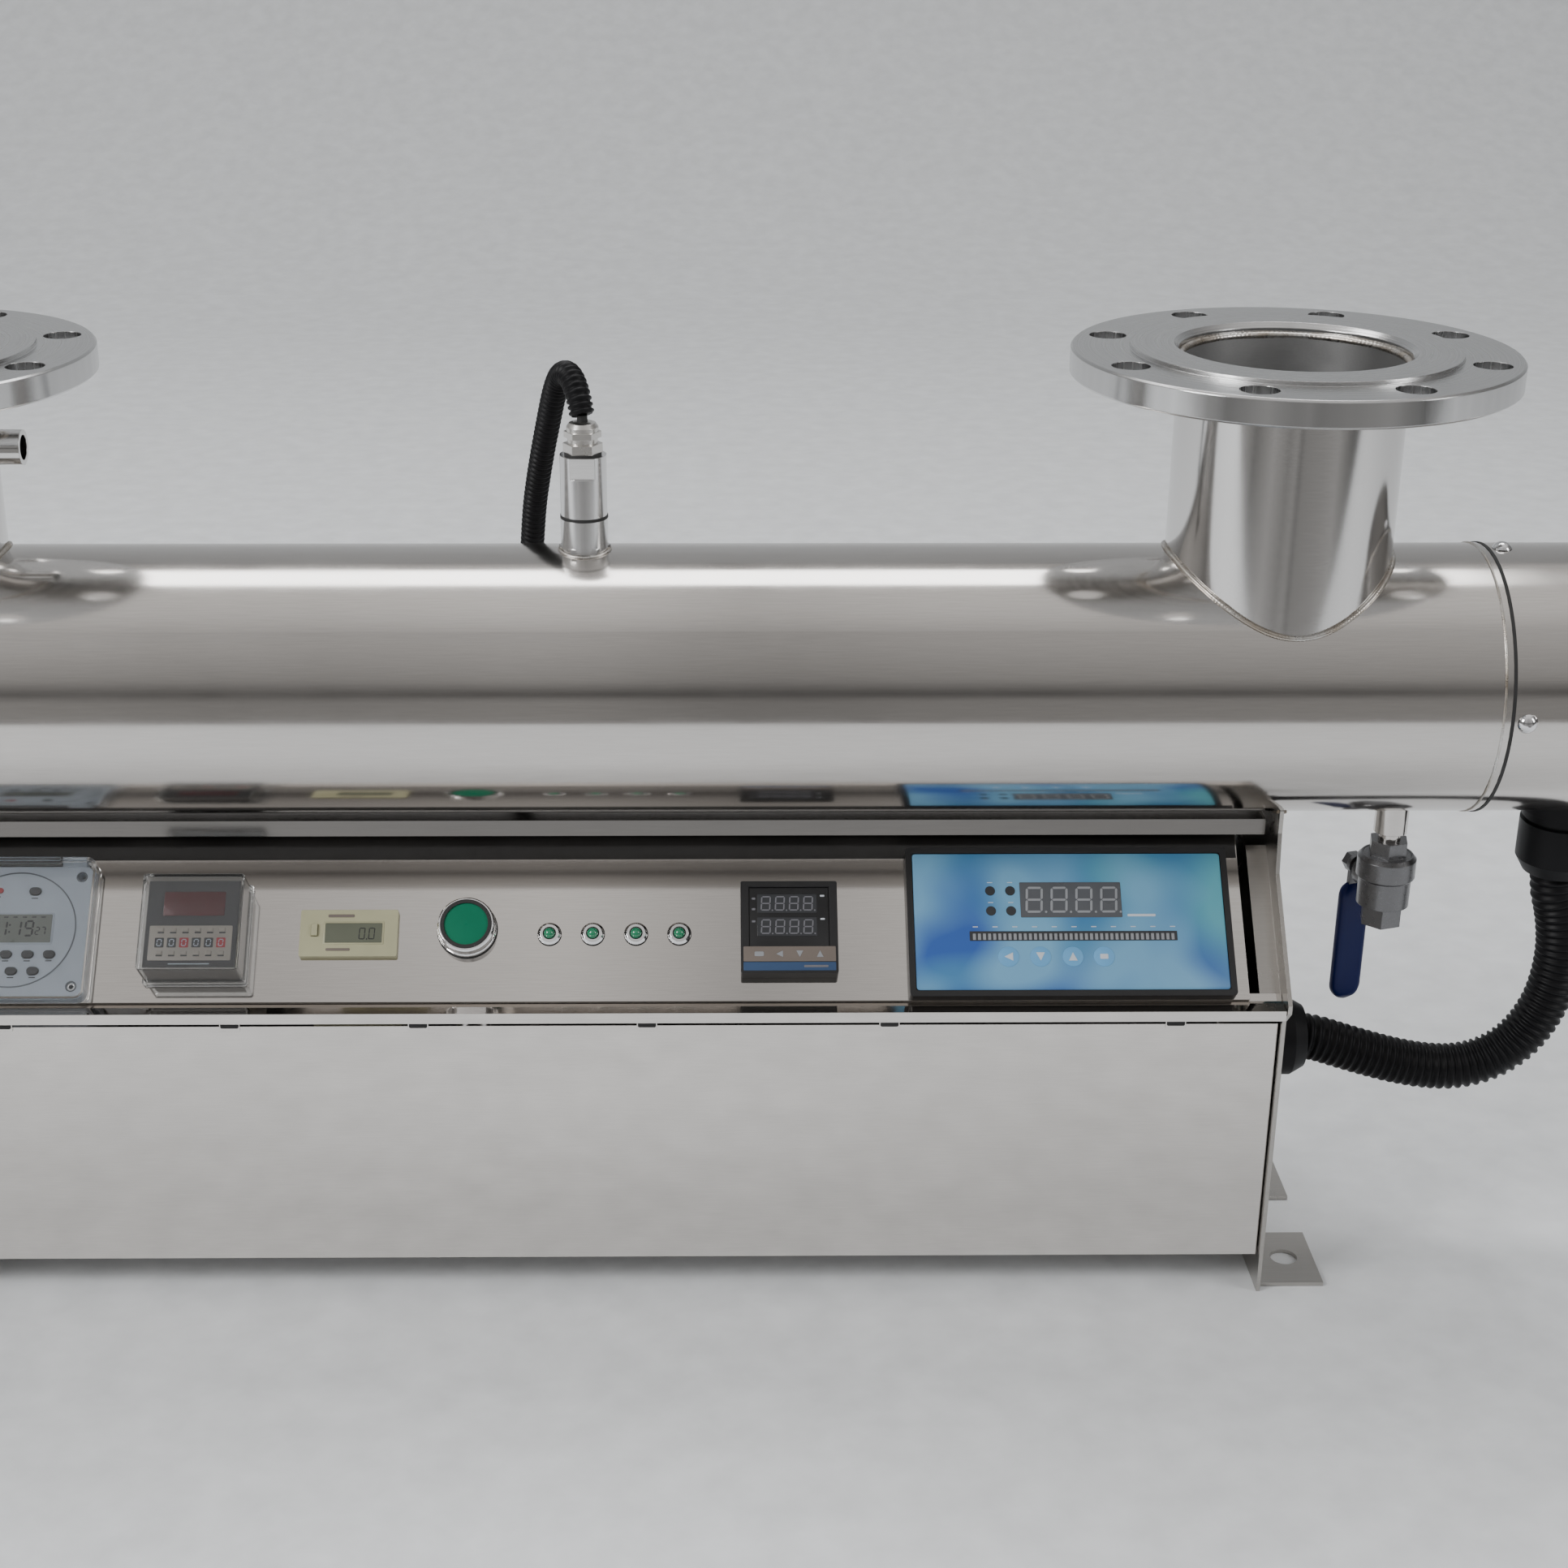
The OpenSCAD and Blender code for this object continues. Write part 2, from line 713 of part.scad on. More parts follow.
module top_plate() {
    half = side_x - plate_t - 3;
    color("silver") {
        bar(half, -strip_y, 66, top_z - sheet_t, top_z);
        bar(half, -strip_y, -strip_y + sheet_t, strip_bottom, top_z);
        bar(half, -strip_y, -4, strip_bottom, strip_bottom + sheet_t);
        bar(half, 66 - sheet_t, 66, top_z - 14, top_z);
    }
}

module front_rail() {
    half = side_x - plate_t - 0.2;
    color("silver") {
        bar(half, -lip_y, -66.5, lip_z - sheet_t, lip_z);
        bar(half, -lip_y, -lip_y + sheet_t, lip_z - 5.5, lip_z);
        bar(half, -lip_y, -71, lip_z - 5.5, lip_z - 5.5 + sheet_t);
        on_panel() translate([-half, -2, -1.9 - sheet_t]) cube([2 * half, 6.4, sheet_t]);
    }
}

module panel_cut(at, size) {
    translate([at[0], at[1], 0]) block(size, -20, 5);
}

module instrument_panel() {
    color("gainsboro") on_panel() difference() {
        union() {
            translate([-panel_half, 0.6, -sheet_t]) cube([2 * panel_half, panel_len - 0.6, sheet_t]);
            for (s = [-1, 1]) translate([s > 0 ? panel_half - sheet_t : -panel_half, 10, -15])
                cube([sheet_t, panel_len - 10, 14]);
        }
        panel_cut(timer_at, [61, 61]);
        panel_cut(relay_at, [45.4, 45.4]);
        panel_cut(hour_at, [45.2, 22.4]);
        panel_cut(controller_at, [45.4, 45.4]);
        panel_cut(monitor_at, [152.5, 68.5]);
        translate([start_at[0], start_at[1], -5]) cylinder(d = 22.4, h = 10);
        for (i = [0 : indicator_count - 1])
            translate([lamp_at[0] + i * lamp_pitch, lamp_at[1], -5]) cylinder(d = 8.2, h = 10);
    }
}

module front_cover() {
    half = side_x - plate_t - 0.8;
    y = -65.5;
    color("silver") {
        bar(half, y, y + sheet_t, door_bottom, door_top);
        bar(half, y, y + 10, door_top - sheet_t, door_top);
        bar(half, y, y + 12, door_bottom, door_bottom + sheet_t);
        for (x = hook_places) translate([x - 5, y - 1, door_top - 2]) cube([10, 1.2, 4.5]);
    }
}

module back_panel() {
    half = side_x - plate_t - 0.4;
    color("silver") difference() {
        union() {
            bar(half, 64, 65.5, door_bottom, top_z - 15);
            bar(half, 54, 65.5, door_bottom, door_bottom + sheet_t);
        }
        translate([-58, 60, 134]) rotate([-90, 0, 0]) cylinder(d = 12.4, h = 10);
        for (x = [-250 : 25 : 250]) if (abs(x + 58) > 30)
            translate([x, 60, 60]) rotate([-90, 0, 0]) linear_extrude(10) slot_2d([16, 5]);
    }
}

module base_plate() {
    half = side_x - plate_t - 0.4;
    color("silver") {
        bar(half, -63.5, 63.5, door_bottom + 1.8, door_bottom + 1.8 + sheet_t);
        for (s = [-1, 1]) translate([s > 0 ? half - sheet_t : -half, -50, door_bottom + 2])
            cube([sheet_t, 100, 14]);
    }
}

module ballasts() {
    floor_z = door_bottom + 1.8 + sheet_t + eps;
    color("lightgray") for (x = [-255, -85, 85, 255]) translate([x, 28, floor_z]) {
        difference() {
            block([150, 42], 0, 30);
            for (s = [-1, 1]) translate([s * 70, 0, 3]) cylinder(d = 4, h = 30);
        }
    }
}

module terminal_block() {
    floor_z = door_bottom + 1.8 + sheet_t + eps;
    color("lightgray") translate([0, -30, floor_z]) {
        block([160, 35], 0, 1);
        block([160, 27], 0, 7);
        for (i = [0 : 11]) translate([-66 + i * 12, 0, 0]) block([11.6, 40], 6.5, 38);
    }
}

// ---- instruments ----

module timer_case() {
    color("gainsboro") on_panel(timer_at) difference() {
        union() {
            plate([68, 68], 4, eps, timer_face);
            block([60.4, 60.4], -38, 1);
            for (s = [-1, 1]) translate([s * timer_lug_x, 36.6, 0]) block([12, 6.4], eps, 5);
            translate([0, timer_hinge_y, timer_hinge_h]) rotate([0, 90, 0])
                cylinder(d = 1.6, h = 2 * timer_lug_x, center = true, $fn = 24);
        }
        for (k = timer_keys) translate([k[0], k[1], 1.2]) linear_extrude(10)
            slot_2d(timer_key_size + [0.5, 0.5]);
        for (x = [-1, 1], y = [-1, 1]) translate([x * 28.5, y * 28.5, -1]) cylinder(d = 4.2, h = 10);
    }
}

module timer_cover() {
    color("white", 0.3) on_panel(timer_at) {
        difference() {
            translate([0, 1.15, 0]) plate([71.4, 73.7], 5, 1.8, 10);
            translate([0, 1, 0]) plate([68.6, 70.6], 3.6, -1, 8.4);
            for (s = [-1, 1]) translate([s * timer_lug_x, 38, 0]) block([12.8, 8], -1, 6.3);
            translate([0, timer_hinge_y, 0]) block([2 * timer_lug_x, 4.4], -1, 5.3);
        }
        translate([0, timer_hinge_y, timer_hinge_h]) rotate([0, 90, 0]) difference() {
            union() {
                cylinder(d = 4, h = 34, center = true);
                translate([-3.9, 0, 0]) cube([4.4, 1.6, 34], center = true);
            }
            cylinder(d = 1.76, h = 40, center = true, $fn = 24);
        }
    }
}

module timer_key(i) {
    color("dimgray") on_panel(timer_at + timer_keys[i]) translate([0, 0, 2.4])
        linear_extrude(timer_face - 1.4) slot_2d(timer_key_size);
}

module relay_case() {
    key_rows = [-4.4, -17.4];
    color("dimgray") on_panel(relay_at) {
        difference() {
            union() {
                block([44.8, 44.8], -70, 18);
                block([47, 47], 0.2, 1.6);
            }
            translate([0, -11, 17]) block([40, 15.5], 0, 5);
        }
        translate([0, -11, 0]) block([39.6, 15.1], 17, 17.8);
        for (i = [0 : 5], y = key_rows) translate([-15 + i * 6, y, 0]) block([2.6, 2.2], 17, 18.6);
    }
}

module relay_cover() {
    color("white", 0.3) on_panel(relay_at) difference() {
        union() {
            plate([49.5, 49.5], 1.5, 1, 22.5);
            plate([51.5, 52.5], 2, 0.2, 2.2);
        }
        plate([46.9, 46.9], 0.5, -1, 21);
        plate([48, 48], 0.5, -1, 1.8);
    }
}

module hour_meter() {
    color("beige") on_panel(hour_at) difference() {
        union() {
            plate([48.4, 24.4], 1, eps, 3);
            block([44.8, 22], -40, 1);
        }
        translate([-17, 1.5, 0]) block([3.4, 6.4], 0.5, 5);
    }
}

module hour_reset_key() {
    color("beige") on_panel(hour_at) translate([-17, 1.5, 0]) block([3, 6], 1.8, 4.2);
}

module start_button_bezel() {
    color("silver") on_panel(start_at) difference() {
        union() {
            rotate_extrude() polygon([
                [0, 0.2], [14.7, 0.2], [14.7, 3], [14.2, 3.6], [14.2, 8.2], [13.4, 9.2], [0, 9.2]
            ]);
            translate([0, 0, -26]) cylinder(d = 22, h = 27);
            block([29, 36], -52, -25);
        }
        translate([0, 0, 1]) cylinder(d = 24.8, h = 10);
        translate([0, 0, -20]) cylinder(d = 17, h = 30);
    }
}

module start_button_cap() {
    color("green") on_panel(start_at) {
        rotate_extrude() polygon([[0, 5], [11.9, 5], [11.9, 8.2], [11.3, 8.8], [0, 9.1]]);
        translate([0, 0, -14]) cylinder(d = 16, h = 19.5);
    }
}

module at_indicators() {
    for (i = [0 : indicator_count - 1]) on_panel(lamp_at + [i * lamp_pitch, 0]) children();
}

module indicator_bezels() {
    color("silver") at_indicators() difference() {
        union() {
            rotate_extrude() polygon([[0, eps], [5.7, eps], [5.7, 1], [4.6, 2.2], [0, 2.2]]);
            translate([0, 0, -22]) cylinder(d = 7.8, h = 23);
        }
        translate([0, 0, -18]) cylinder(d = 6, h = 30);
    }
}

module indicator_lenses() {
    color("green") at_indicators() {
        translate([0, 0, -10]) cylinder(d = 5.7, h = 11.6);
        translate([0, 0, 1.6]) intersection() {
            sphere(d = 5.7);
            cylinder(d = 8, h = 5);
        }
    }
}

module controller() {
    color("black") on_panel(controller_at) {
        difference() {
            plate([48, 48], 1, eps, 8);
            translate([0, 2, 7]) block([40, 38], 0, 5);
        }
        block([44.8, 44.8], -75, 1);
    }
}

module monitor() {
    color("black") on_panel(monitor_at) {
        difference() {
            plate([161, 78], 2, eps, 7);
            plate([155, 72], 1, 6, 10);
        }
        block([151.5, 68], -60, 1);
    }
}

chamber_tube();
port_necks();
port_flanges();
tube_sheets();
baffle_plates();
quartz_sleeves();
uv_lamps();
lamp_ends();
rubber_seals();
sleeve_nuts();
end_caps();
end_cap_screws();
sampling_nipple();
sensor_socket();
sensor_body();
sensor_window();
sensor_gland();
sensor_cable();
sensor_conduit();
drain_socket();
valve_body();
valve_tailpiece();
valve_seats();
valve_ball();
valve_stem();
valve_handle();
handle_sleeve();
handle_nut();
conduit_glands();
entry_glands();
lamp_conduit();
left_side_plate();
right_side_plate();
top_plate();
front_rail();
instrument_panel();
front_cover();
back_panel();
base_plate();
ballasts();
terminal_block();
timer_case();
timer_cover();
timer_key(0);  // timer_key_manual
timer_key(1);  // timer_key_program
timer_key(2);  // timer_key_day
timer_key(3);  // timer_key_hour
timer_key(4);  // timer_key_minute
timer_key(5);  // timer_key_clock
timer_key(6);  // timer_key_recall
relay_case();
relay_cover();
hour_meter();
hour_reset_key();
start_button_bezel();
start_button_cap();
indicator_bezels();
indicator_lenses();
controller();
monitor();
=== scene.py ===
"""Looks of the ultraviolet water steriliser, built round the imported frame.

Lengths are in metres, apart from routes and places on the panel, which are in millimetres.
"""

import math

import bpy
from mathutils import Matrix, Vector


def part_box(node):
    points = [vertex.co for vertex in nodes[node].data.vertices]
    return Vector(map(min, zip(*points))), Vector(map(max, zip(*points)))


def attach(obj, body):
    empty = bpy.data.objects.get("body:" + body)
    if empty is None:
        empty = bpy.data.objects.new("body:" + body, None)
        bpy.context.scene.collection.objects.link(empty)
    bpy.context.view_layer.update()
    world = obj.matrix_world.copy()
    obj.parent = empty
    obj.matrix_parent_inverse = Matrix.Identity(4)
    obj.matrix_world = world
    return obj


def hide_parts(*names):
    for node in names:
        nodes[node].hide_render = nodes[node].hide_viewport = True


MM = 0.001
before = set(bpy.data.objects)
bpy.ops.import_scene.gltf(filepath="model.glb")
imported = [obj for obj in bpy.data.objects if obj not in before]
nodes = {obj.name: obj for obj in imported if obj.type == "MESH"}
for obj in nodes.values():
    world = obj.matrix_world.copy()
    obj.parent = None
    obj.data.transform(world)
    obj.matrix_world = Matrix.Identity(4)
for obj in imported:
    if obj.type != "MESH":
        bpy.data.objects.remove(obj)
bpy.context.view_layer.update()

# ---------------------------------------------------------------- driving dimensions, from the frame

chamber_low, chamber_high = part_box("chamber_tube")
AXIS_Z = (chamber_low[2] + chamber_high[2]) / 2
CHAMBER_R = (chamber_high[2] - chamber_low[2]) / 2
TUBE_HALF = chamber_high[0]
flange_low, flange_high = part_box("port_flanges")
FLANGE_R = (flange_high[1] - flange_low[1]) / 2
PORT_X = flange_high[0] - FLANGE_R
NECK_R = 54 * MM
NECK_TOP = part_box("port_necks")[1][2]

# ---------------------------------------------------------------- the same dimensions as in the CAD source

SENSOR_X = -1 * MM                               # upright axis of the sensor
DRAIN_X = 406 * MM                               # upright axis of the drain
VALVE_Z = 200 * MM                               # height of the drain valve's middle
PLATE_FACE = 343.8                               # outer face of a side plate, in millimetres
PLATE_THICK = 2
PANEL_FOOT = Vector((0, -68 * MM, 167.5 * MM))   # bottom edge of the instrument panel's face
SLOPE = math.radians(45)

# Middles of the instruments on the panel, in millimetres across and up the slope
TIMER_AT = (-282, 35.5)
RELAY_AT = (-194.3, 35)
HOUR_METER_AT = (-119.8, 35.5)
START_BUTTON_AT = (-61.3, 38)
INDICATORS_AT = tuple((-20.5 + 21.5 * i, 35.5) for i in range(4))
CONTROLLER_AT = (98.5, 36.5)
MONITOR_AT = (237.8, 37.6)


# ---------------------------------------------------------------- camera, fitted to points in the photo

CAMERA_PLACE = (0.0579, -1.1278, 0.7151)
CAMERA_TURNS = (0.612, 22.045, 0.116)   # yaw to the right, pitch down and roll, in degrees
CAMERA_LENS = 55.45                     # millimetres, on a sensor 36 mm wide
CAMERA_SHIFT = (0.0339, -0.0031)


def make_camera():
    """Camera at the photo's place, with its roll and with its lens shift."""
    yaw, pitch, roll = (math.radians(a) for a in CAMERA_TURNS)
    forward = Vector((math.sin(yaw) * math.cos(pitch), math.cos(yaw) * math.cos(pitch), -math.sin(pitch)))
    flat_right = Vector((math.cos(yaw), -math.sin(yaw), 0))
    flat_up = flat_right.cross(forward)
    right = flat_right * math.cos(roll) + flat_up * math.sin(roll)
    up = flat_up * math.cos(roll) - flat_right * math.sin(roll)
    data = bpy.data.cameras.new("camera")
    data.sensor_width = 36
    data.lens = CAMERA_LENS
    data.shift_x, data.shift_y = CAMERA_SHIFT
    data.clip_start = 0.02
    camera = bpy.data.objects.new("camera", data)
    bpy.context.scene.collection.objects.link(camera)
    turn = Matrix((right, up, -forward)).transposed().to_4x4()
    camera.matrix_world = Matrix.Translation(CAMERA_PLACE) @ turn
    bpy.context.scene.camera = camera


make_camera()


# ---------------------------------------------------------------- materials

def new_material(name, color, metallic=0.0, roughness=0.4, **sockets):
    """Plain material. The other sockets are named with underscores for spaces."""
    mat = bpy.data.materials.new(name)
    mat.use_nodes = True
    shader = mat.node_tree.nodes["Principled BSDF"]
    shader.inputs["Base Color"].default_value = (*color, 1)
    shader.inputs["Metallic"].default_value = metallic
    shader.inputs["Roughness"].default_value = roughness
    for key, value in sockets.items():
        shader.inputs[key.replace("_", " ")].default_value = value
    return mat


class Nodes:
    """Small helper that adds shader nodes and links them."""

    def __init__(self, mat):
        self.tree = mat.node_tree
        self.shader = self.tree.nodes["Principled BSDF"]

    def add(self, kind, **settings):
        node = self.tree.nodes.new(kind)
        for key, value in settings.items():
            if key in node.inputs:
                node.inputs[key].default_value = value
            else:
                setattr(node, key, value)
        return node

    def link(self, out, into):
        self.tree.links.new(out, into)

    def coords(self, scale=(1, 1, 1), turn=(0, 0, 0)):
        place = self.add("ShaderNodeMapping", Scale=scale, Rotation=turn)
        self.link(self.add("ShaderNodeTexCoord").outputs["Object"], place.inputs["Vector"])
        return place.outputs["Vector"]

    def noise(self, vector, scale, detail=4.0, rough=0.55):
        node = self.add("ShaderNodeTexNoise", Scale=scale, Detail=detail, Roughness=rough)
        self.link(vector, node.inputs["Vector"])
        return node.outputs["Fac"]

    def ramp(self, value, low, high, start=0.3, end=0.7):
        """Value from start to end, spread over low to high."""
        node = self.add("ShaderNodeMapRange")
        for key, number in (("From Min", start), ("From Max", end), ("To Min", low), ("To Max", high)):
            node.inputs[key].default_value = number
        self.link(value, node.inputs["Value"])
        return node.outputs["Result"]

    def mix(self, value, first, second):
        """Blend of two colours, each a triple or another node's output."""
        node = self.add("ShaderNodeMix", data_type="RGBA")
        for socket, color in (("A", first), ("B", second)):
            into = next(i for i in node.inputs if i.name == socket and i.type == "RGBA")
            if hasattr(color, "links"):
                self.link(color, into)
            else:
                into.default_value = (*color, 1)
        self.link(value, node.inputs[0])
        return next(o for o in node.outputs if o.type == "RGBA")

    def relief(self, height, strength, distance, base=None):
        node = self.add("ShaderNodeBump", Strength=strength, Distance=distance)
        self.link(height, node.inputs["Height"])
        if base:
            self.link(base, node.inputs["Normal"])
        return node.outputs["Normal"]

    def soft_edges(self, radius):
        node = self.add("ShaderNodeBevel", samples=4)
        node.inputs["Radius"].default_value = radius
        return node.outputs["Normal"]

    def normal(self, out):
        self.link(out, self.shader.inputs["Normal"])


def polished_steel(name, tint, rough, grain, wave, edge=0.5 * MM):
    """Polished stainless: grain along X, slow waviness, and faint smears in the gloss."""
    mat = new_material(name, tint, 1.0, rough)
    n = Nodes(mat)
    place = n.coords()
    smear = n.noise(place, 9, 6, 0.6)
    lines = n.noise(n.coords((2, 60, 60)), 30, 3)
    cloud = n.noise(place, 3.2, 2)
    n.link(n.ramp(smear, rough * 0.75, rough * 1.5), n.shader.inputs["Roughness"])
    dark = tuple(c * 0.93 for c in tint)
    n.link(n.mix(n.ramp(lines, 0, 1), tint, dark), n.shader.inputs["Base Color"])
    base = n.soft_edges(edge)
    base = n.relief(cloud, wave, 6 * MM, base)
    n.normal(n.relief(lines, grain, 0.05 * MM, base))
    return mat


def turned_steel(name, tint, rough, ring):
    """Lathe-turned steel: fine rings round each port's axis, ring metres apart."""
    mat = new_material(name, tint, 1.0, rough)
    n = Nodes(mat)
    split = n.add("ShaderNodeSeparateXYZ")
    n.link(n.coords(), split.inputs[0])
    mirrored = n.add("ShaderNodeMath", operation="ABSOLUTE")
    n.link(split.outputs["X"], mirrored.inputs[0])
    offset = n.add("ShaderNodeMath", operation="SUBTRACT")
    n.link(mirrored.outputs[0], offset.inputs[0])
    offset.inputs[1].default_value = PORT_X
    join = n.add("ShaderNodeCombineXYZ")
    n.link(offset.outputs[0], join.inputs["X"])
    n.link(split.outputs["Y"], join.inputs["Y"])
    length = n.add("ShaderNodeVectorMath", operation="LENGTH")
    n.link(join.outputs[0], length.inputs[0])
    count = n.add("ShaderNodeMath", operation="MULTIPLY")
    n.link(length.outputs["Value"], count.inputs[0])
    count.inputs[1].default_value = 1 / ring
    rings = n.add("ShaderNodeTexNoise", noise_dimensions="1D", Scale=1.0, Detail=3.0)
    n.link(count.outputs[0], rings.inputs["W"])
    height = rings.outputs["Fac"]
    n.link(n.ramp(height, rough * 0.7, rough * 1.5), n.shader.inputs["Roughness"])
    n.link(n.mix(n.ramp(height, 0, 1), tint, tuple(c * 0.85 for c in tint)), n.shader.inputs["Base Color"])
    n.normal(n.relief(height, 0.6, 0.12 * MM, n.soft_edges(0.6 * MM)))
    return mat


def plastic(name, color, rough, grain=0.25, size=900, edge=0.3 * MM, **sockets):
    """Moulded plastic: fine spark-eroded grain, slight colour drift and soft edges."""
    mat = new_material(name, color, 0.0, rough, **sockets)
    n = Nodes(mat)
    place = n.coords()
    fine = n.noise(place, size, 2)
    drift = n.noise(place, 40, 3)
    lighter = tuple(min(1, c * 1.12 + 0.002) for c in color)
    n.link(n.mix(n.ramp(drift, 0, 1), color, lighter), n.shader.inputs["Base Color"])
    n.link(n.ramp(drift, rough * 0.85, rough * 1.2), n.shader.inputs["Roughness"])
    n.normal(n.relief(fine, grain, 0.05 * MM, n.soft_edges(edge)))
    return mat


def cast_steel(name, tint, rough):
    """Cast or galvanised metal: even grain without a direction."""
    mat = new_material(name, tint, 1.0, rough)
    n = Nodes(mat)
    grain = n.noise(n.coords(), 700, 5, 0.7)
    n.link(n.ramp(grain, rough * 0.8, rough * 1.3), n.shader.inputs["Roughness"])
    n.normal(n.relief(grain, 0.5, 0.12 * MM, n.soft_edges(0.5 * MM)))
    return mat


def clear_plastic(name, tint, rough, ior):
    """Clear plastic or glass, hardly uneven."""
    mat = new_material(name, tint, 0.0, rough, Transmission_Weight=1.0, IOR=ior)
    n = Nodes(mat)
    n.normal(n.relief(n.noise(n.coords(), 60, 2), 0.05, 0.2 * MM, n.soft_edges(0.6 * MM)))
    return mat


def weld_metal(name):
    """Weld bead: dull ripples with a straw heat tint."""
    mat = new_material(name, (0.62, 0.6, 0.57), 1.0, 0.3)
    n = Nodes(mat)
    place = n.coords()
    spots = n.noise(place, 420, 4)
    n.link(n.mix(n.ramp(n.noise(place, 70, 3), 0, 1), (0.66, 0.65, 0.63), (0.42, 0.36, 0.29)),
           n.shader.inputs["Base Color"])
    n.link(n.ramp(spots, 0.2, 0.45), n.shader.inputs["Roughness"])
    n.normal(n.relief(spots, 0.4, 0.15 * MM))
    return mat


def monitor_film(name):
    """Printed film of the monitor: soft clouds from teal to blue, laid by place on the panel."""
    mat = new_material(name, (0.1, 0.35, 0.62), 0.0, 0.32)
    n = Nodes(mat)
    place = n.coords((1, 1.4, 1.4))
    broad = n.noise(place, 11, 1.0, 0.4)
    second = n.noise(n.coords((1, 1, 1), (0, 0, 1.1)), 21, 1.0, 0.4)
    teal_blue = n.mix(n.ramp(broad, 0, 1, 0.4, 0.6), (0.03, 0.11, 0.42), (0.12, 0.43, 0.53))
    n.link(n.mix(n.ramp(second, 0, 0.85, 0.42, 0.62), teal_blue, (0.2, 0.47, 0.69)),
           n.shader.inputs["Base Color"])
    n.normal(n.relief(n.noise(place, 1500, 2), 0.08, 0.02 * MM))
    return mat


# Metals
STEEL = polished_steel("polished_steel", (0.66, 0.635, 0.61), 0.12, 0.05, 0.035)
BORE_STEEL = polished_steel("bore_steel", (0.62, 0.62, 0.62), 0.34, 0.05, 0.03)
SHEET = polished_steel("mirror_sheet", (0.72, 0.69, 0.66), 0.06, 0.03, 0.02, 0.3 * MM)
HOOD_SHEET = polished_steel("hood_sheet", (0.2, 0.19, 0.18), 0.16, 0.04, 0.02, 0.3 * MM)
# Side plates: rougher sheet than the panels, toned darker as painted shade on the side plates, their
# flanges and their foot tabs.
SIDE_SHEET = polished_steel("side_sheet", (0.48, 0.46, 0.435), 0.26, 0.05, 0.02, 0.3 * MM)
NECK_STEEL = polished_steel("neck_steel", (0.7, 0.69, 0.68), 0.1, 0.05, 0.07)
FLANGE_STEEL = turned_steel("flange_steel", (0.6, 0.6, 0.6), 0.2, 0.9 * MM)
SENSOR_STEEL = polished_steel("sensor_steel", (0.78, 0.78, 0.78), 0.17, 0.04, 0.0, 0.4 * MM)
NICKEL = polished_steel("nickel_plate", (0.74, 0.72, 0.69), 0.24, 0.04, 0.0, 0.3 * MM)
# Paler copy of the sensor steel for its flats: a real satin finish, with extra brightness painted in as
# light.
SATIN_BRIGHTENED_STEEL = polished_steel("satin_brightened_steel", (0.9, 0.9, 0.9), 0.6, 0.05, 0.0, 0.2 * MM)
VALVE_STEEL = cast_steel("valve_steel", (0.18, 0.18, 0.185), 0.3)
CHROME = polished_steel("chrome", (0.82, 0.82, 0.83), 0.05, 0.02, 0.0, 0.3 * MM)
WELD = weld_metal("weld_metal")

# Plastics, rubber and glass
BLACK_NYLON = plastic("black_nylon", (0.004, 0.004, 0.005), 0.45, 0.3, 700, Specular_IOR_Level=0.2)
BLACK_RUBBER = plastic("black_rubber", (0.02, 0.02, 0.02), 0.6, 0.4, 600)
BLUE_VINYL = plastic("blue_vinyl", (0.003, 0.009, 0.085), 0.35, 0.3, 500, 0.8 * MM, Specular_IOR_Level=0.25)
GREY_PLASTIC = plastic("light_grey_plastic", (0.42, 0.46, 0.52), 0.45)
RING_GREY = plastic("ring_grey", (0.13, 0.14, 0.16), 0.45)
KEY_RUBBER = plastic("key_rubber", (0.035, 0.036, 0.04), 0.6, 0.3, 900, 0.5 * MM)
DARK_PLASTIC = plastic("dark_grey_plastic", (0.035, 0.035, 0.038), 0.4)
BLACK_ABS = plastic("black_abs", (0.012, 0.012, 0.013), 0.35, 0.3, 1100)
CREAM = plastic("cream_plastic", (0.42, 0.41, 0.26), 0.4)
BEIGE = plastic("beige_plastic", (0.36, 0.32, 0.28), 0.45)
GREEN = plastic("green_plastic", (0.0, 0.165, 0.085), 0.35, 0.15, 900, 0.4 * MM, Specular_IOR_Level=0.25)
GREEN_LENS = plastic("green_lens", (0.01, 0.22, 0.1), 0.12, 0.05, 900, 0.2 * MM, Coat_Weight=1.0)
CLEAR = clear_plastic("clear_cover", (0.96, 0.98, 0.99), 0.02, 1.49)
QUARTZ = clear_plastic("quartz", (0.97, 0.99, 1.0), 0.01, 1.46)
LAMP = plastic("lamp_glass", (0.75, 0.78, 0.82), 0.15, 0.05)
CERAMIC = plastic("ceramic", (0.8, 0.78, 0.72), 0.35)
PTFE = plastic("ptfe", (0.85, 0.85, 0.84), 0.5)
GALVANISED = cast_steel("galvanised", (0.6, 0.61, 0.62), 0.45)
TERMINAL = plastic("terminal_grey", (0.45, 0.46, 0.45), 0.5)

# Displays, prints and films of the instruments
HOUR_LCD = plastic("hour_lcd_glass", (0.115, 0.125, 0.09), 0.25, 0.02)
TIMER_LCD = plastic("timer_lcd_glass", (0.15, 0.158, 0.14), 0.3, 0.02)
INK = plastic("ink", (0.015, 0.015, 0.016), 0.5)
WINDOW = plastic("display_window", (0.03, 0.032, 0.036), 0.3, 0.02)
GREY_WINDOW = plastic("grey_window", (0.085, 0.09, 0.1), 0.3, 0.02)
SEGMENT = plastic("unlit_segment", (0.16, 0.16, 0.18), 0.4)
PALE_SEGMENT = plastic("pale_segment", (0.28, 0.29, 0.31), 0.4)
RED_WINDOW = plastic("red_window", (0.085, 0.008, 0.012), 0.3, 0.02)
RED = plastic("red_plastic", (0.4, 0.02, 0.03), 0.35)
WHITE_INK = plastic("white_ink", (0.62, 0.66, 0.72), 0.45)
BRONZE_FILM = plastic("bronze_film", (0.17, 0.14, 0.12), 0.4)
BLUE_FILM = plastic("blue_film", (0.03, 0.07, 0.16), 0.4)
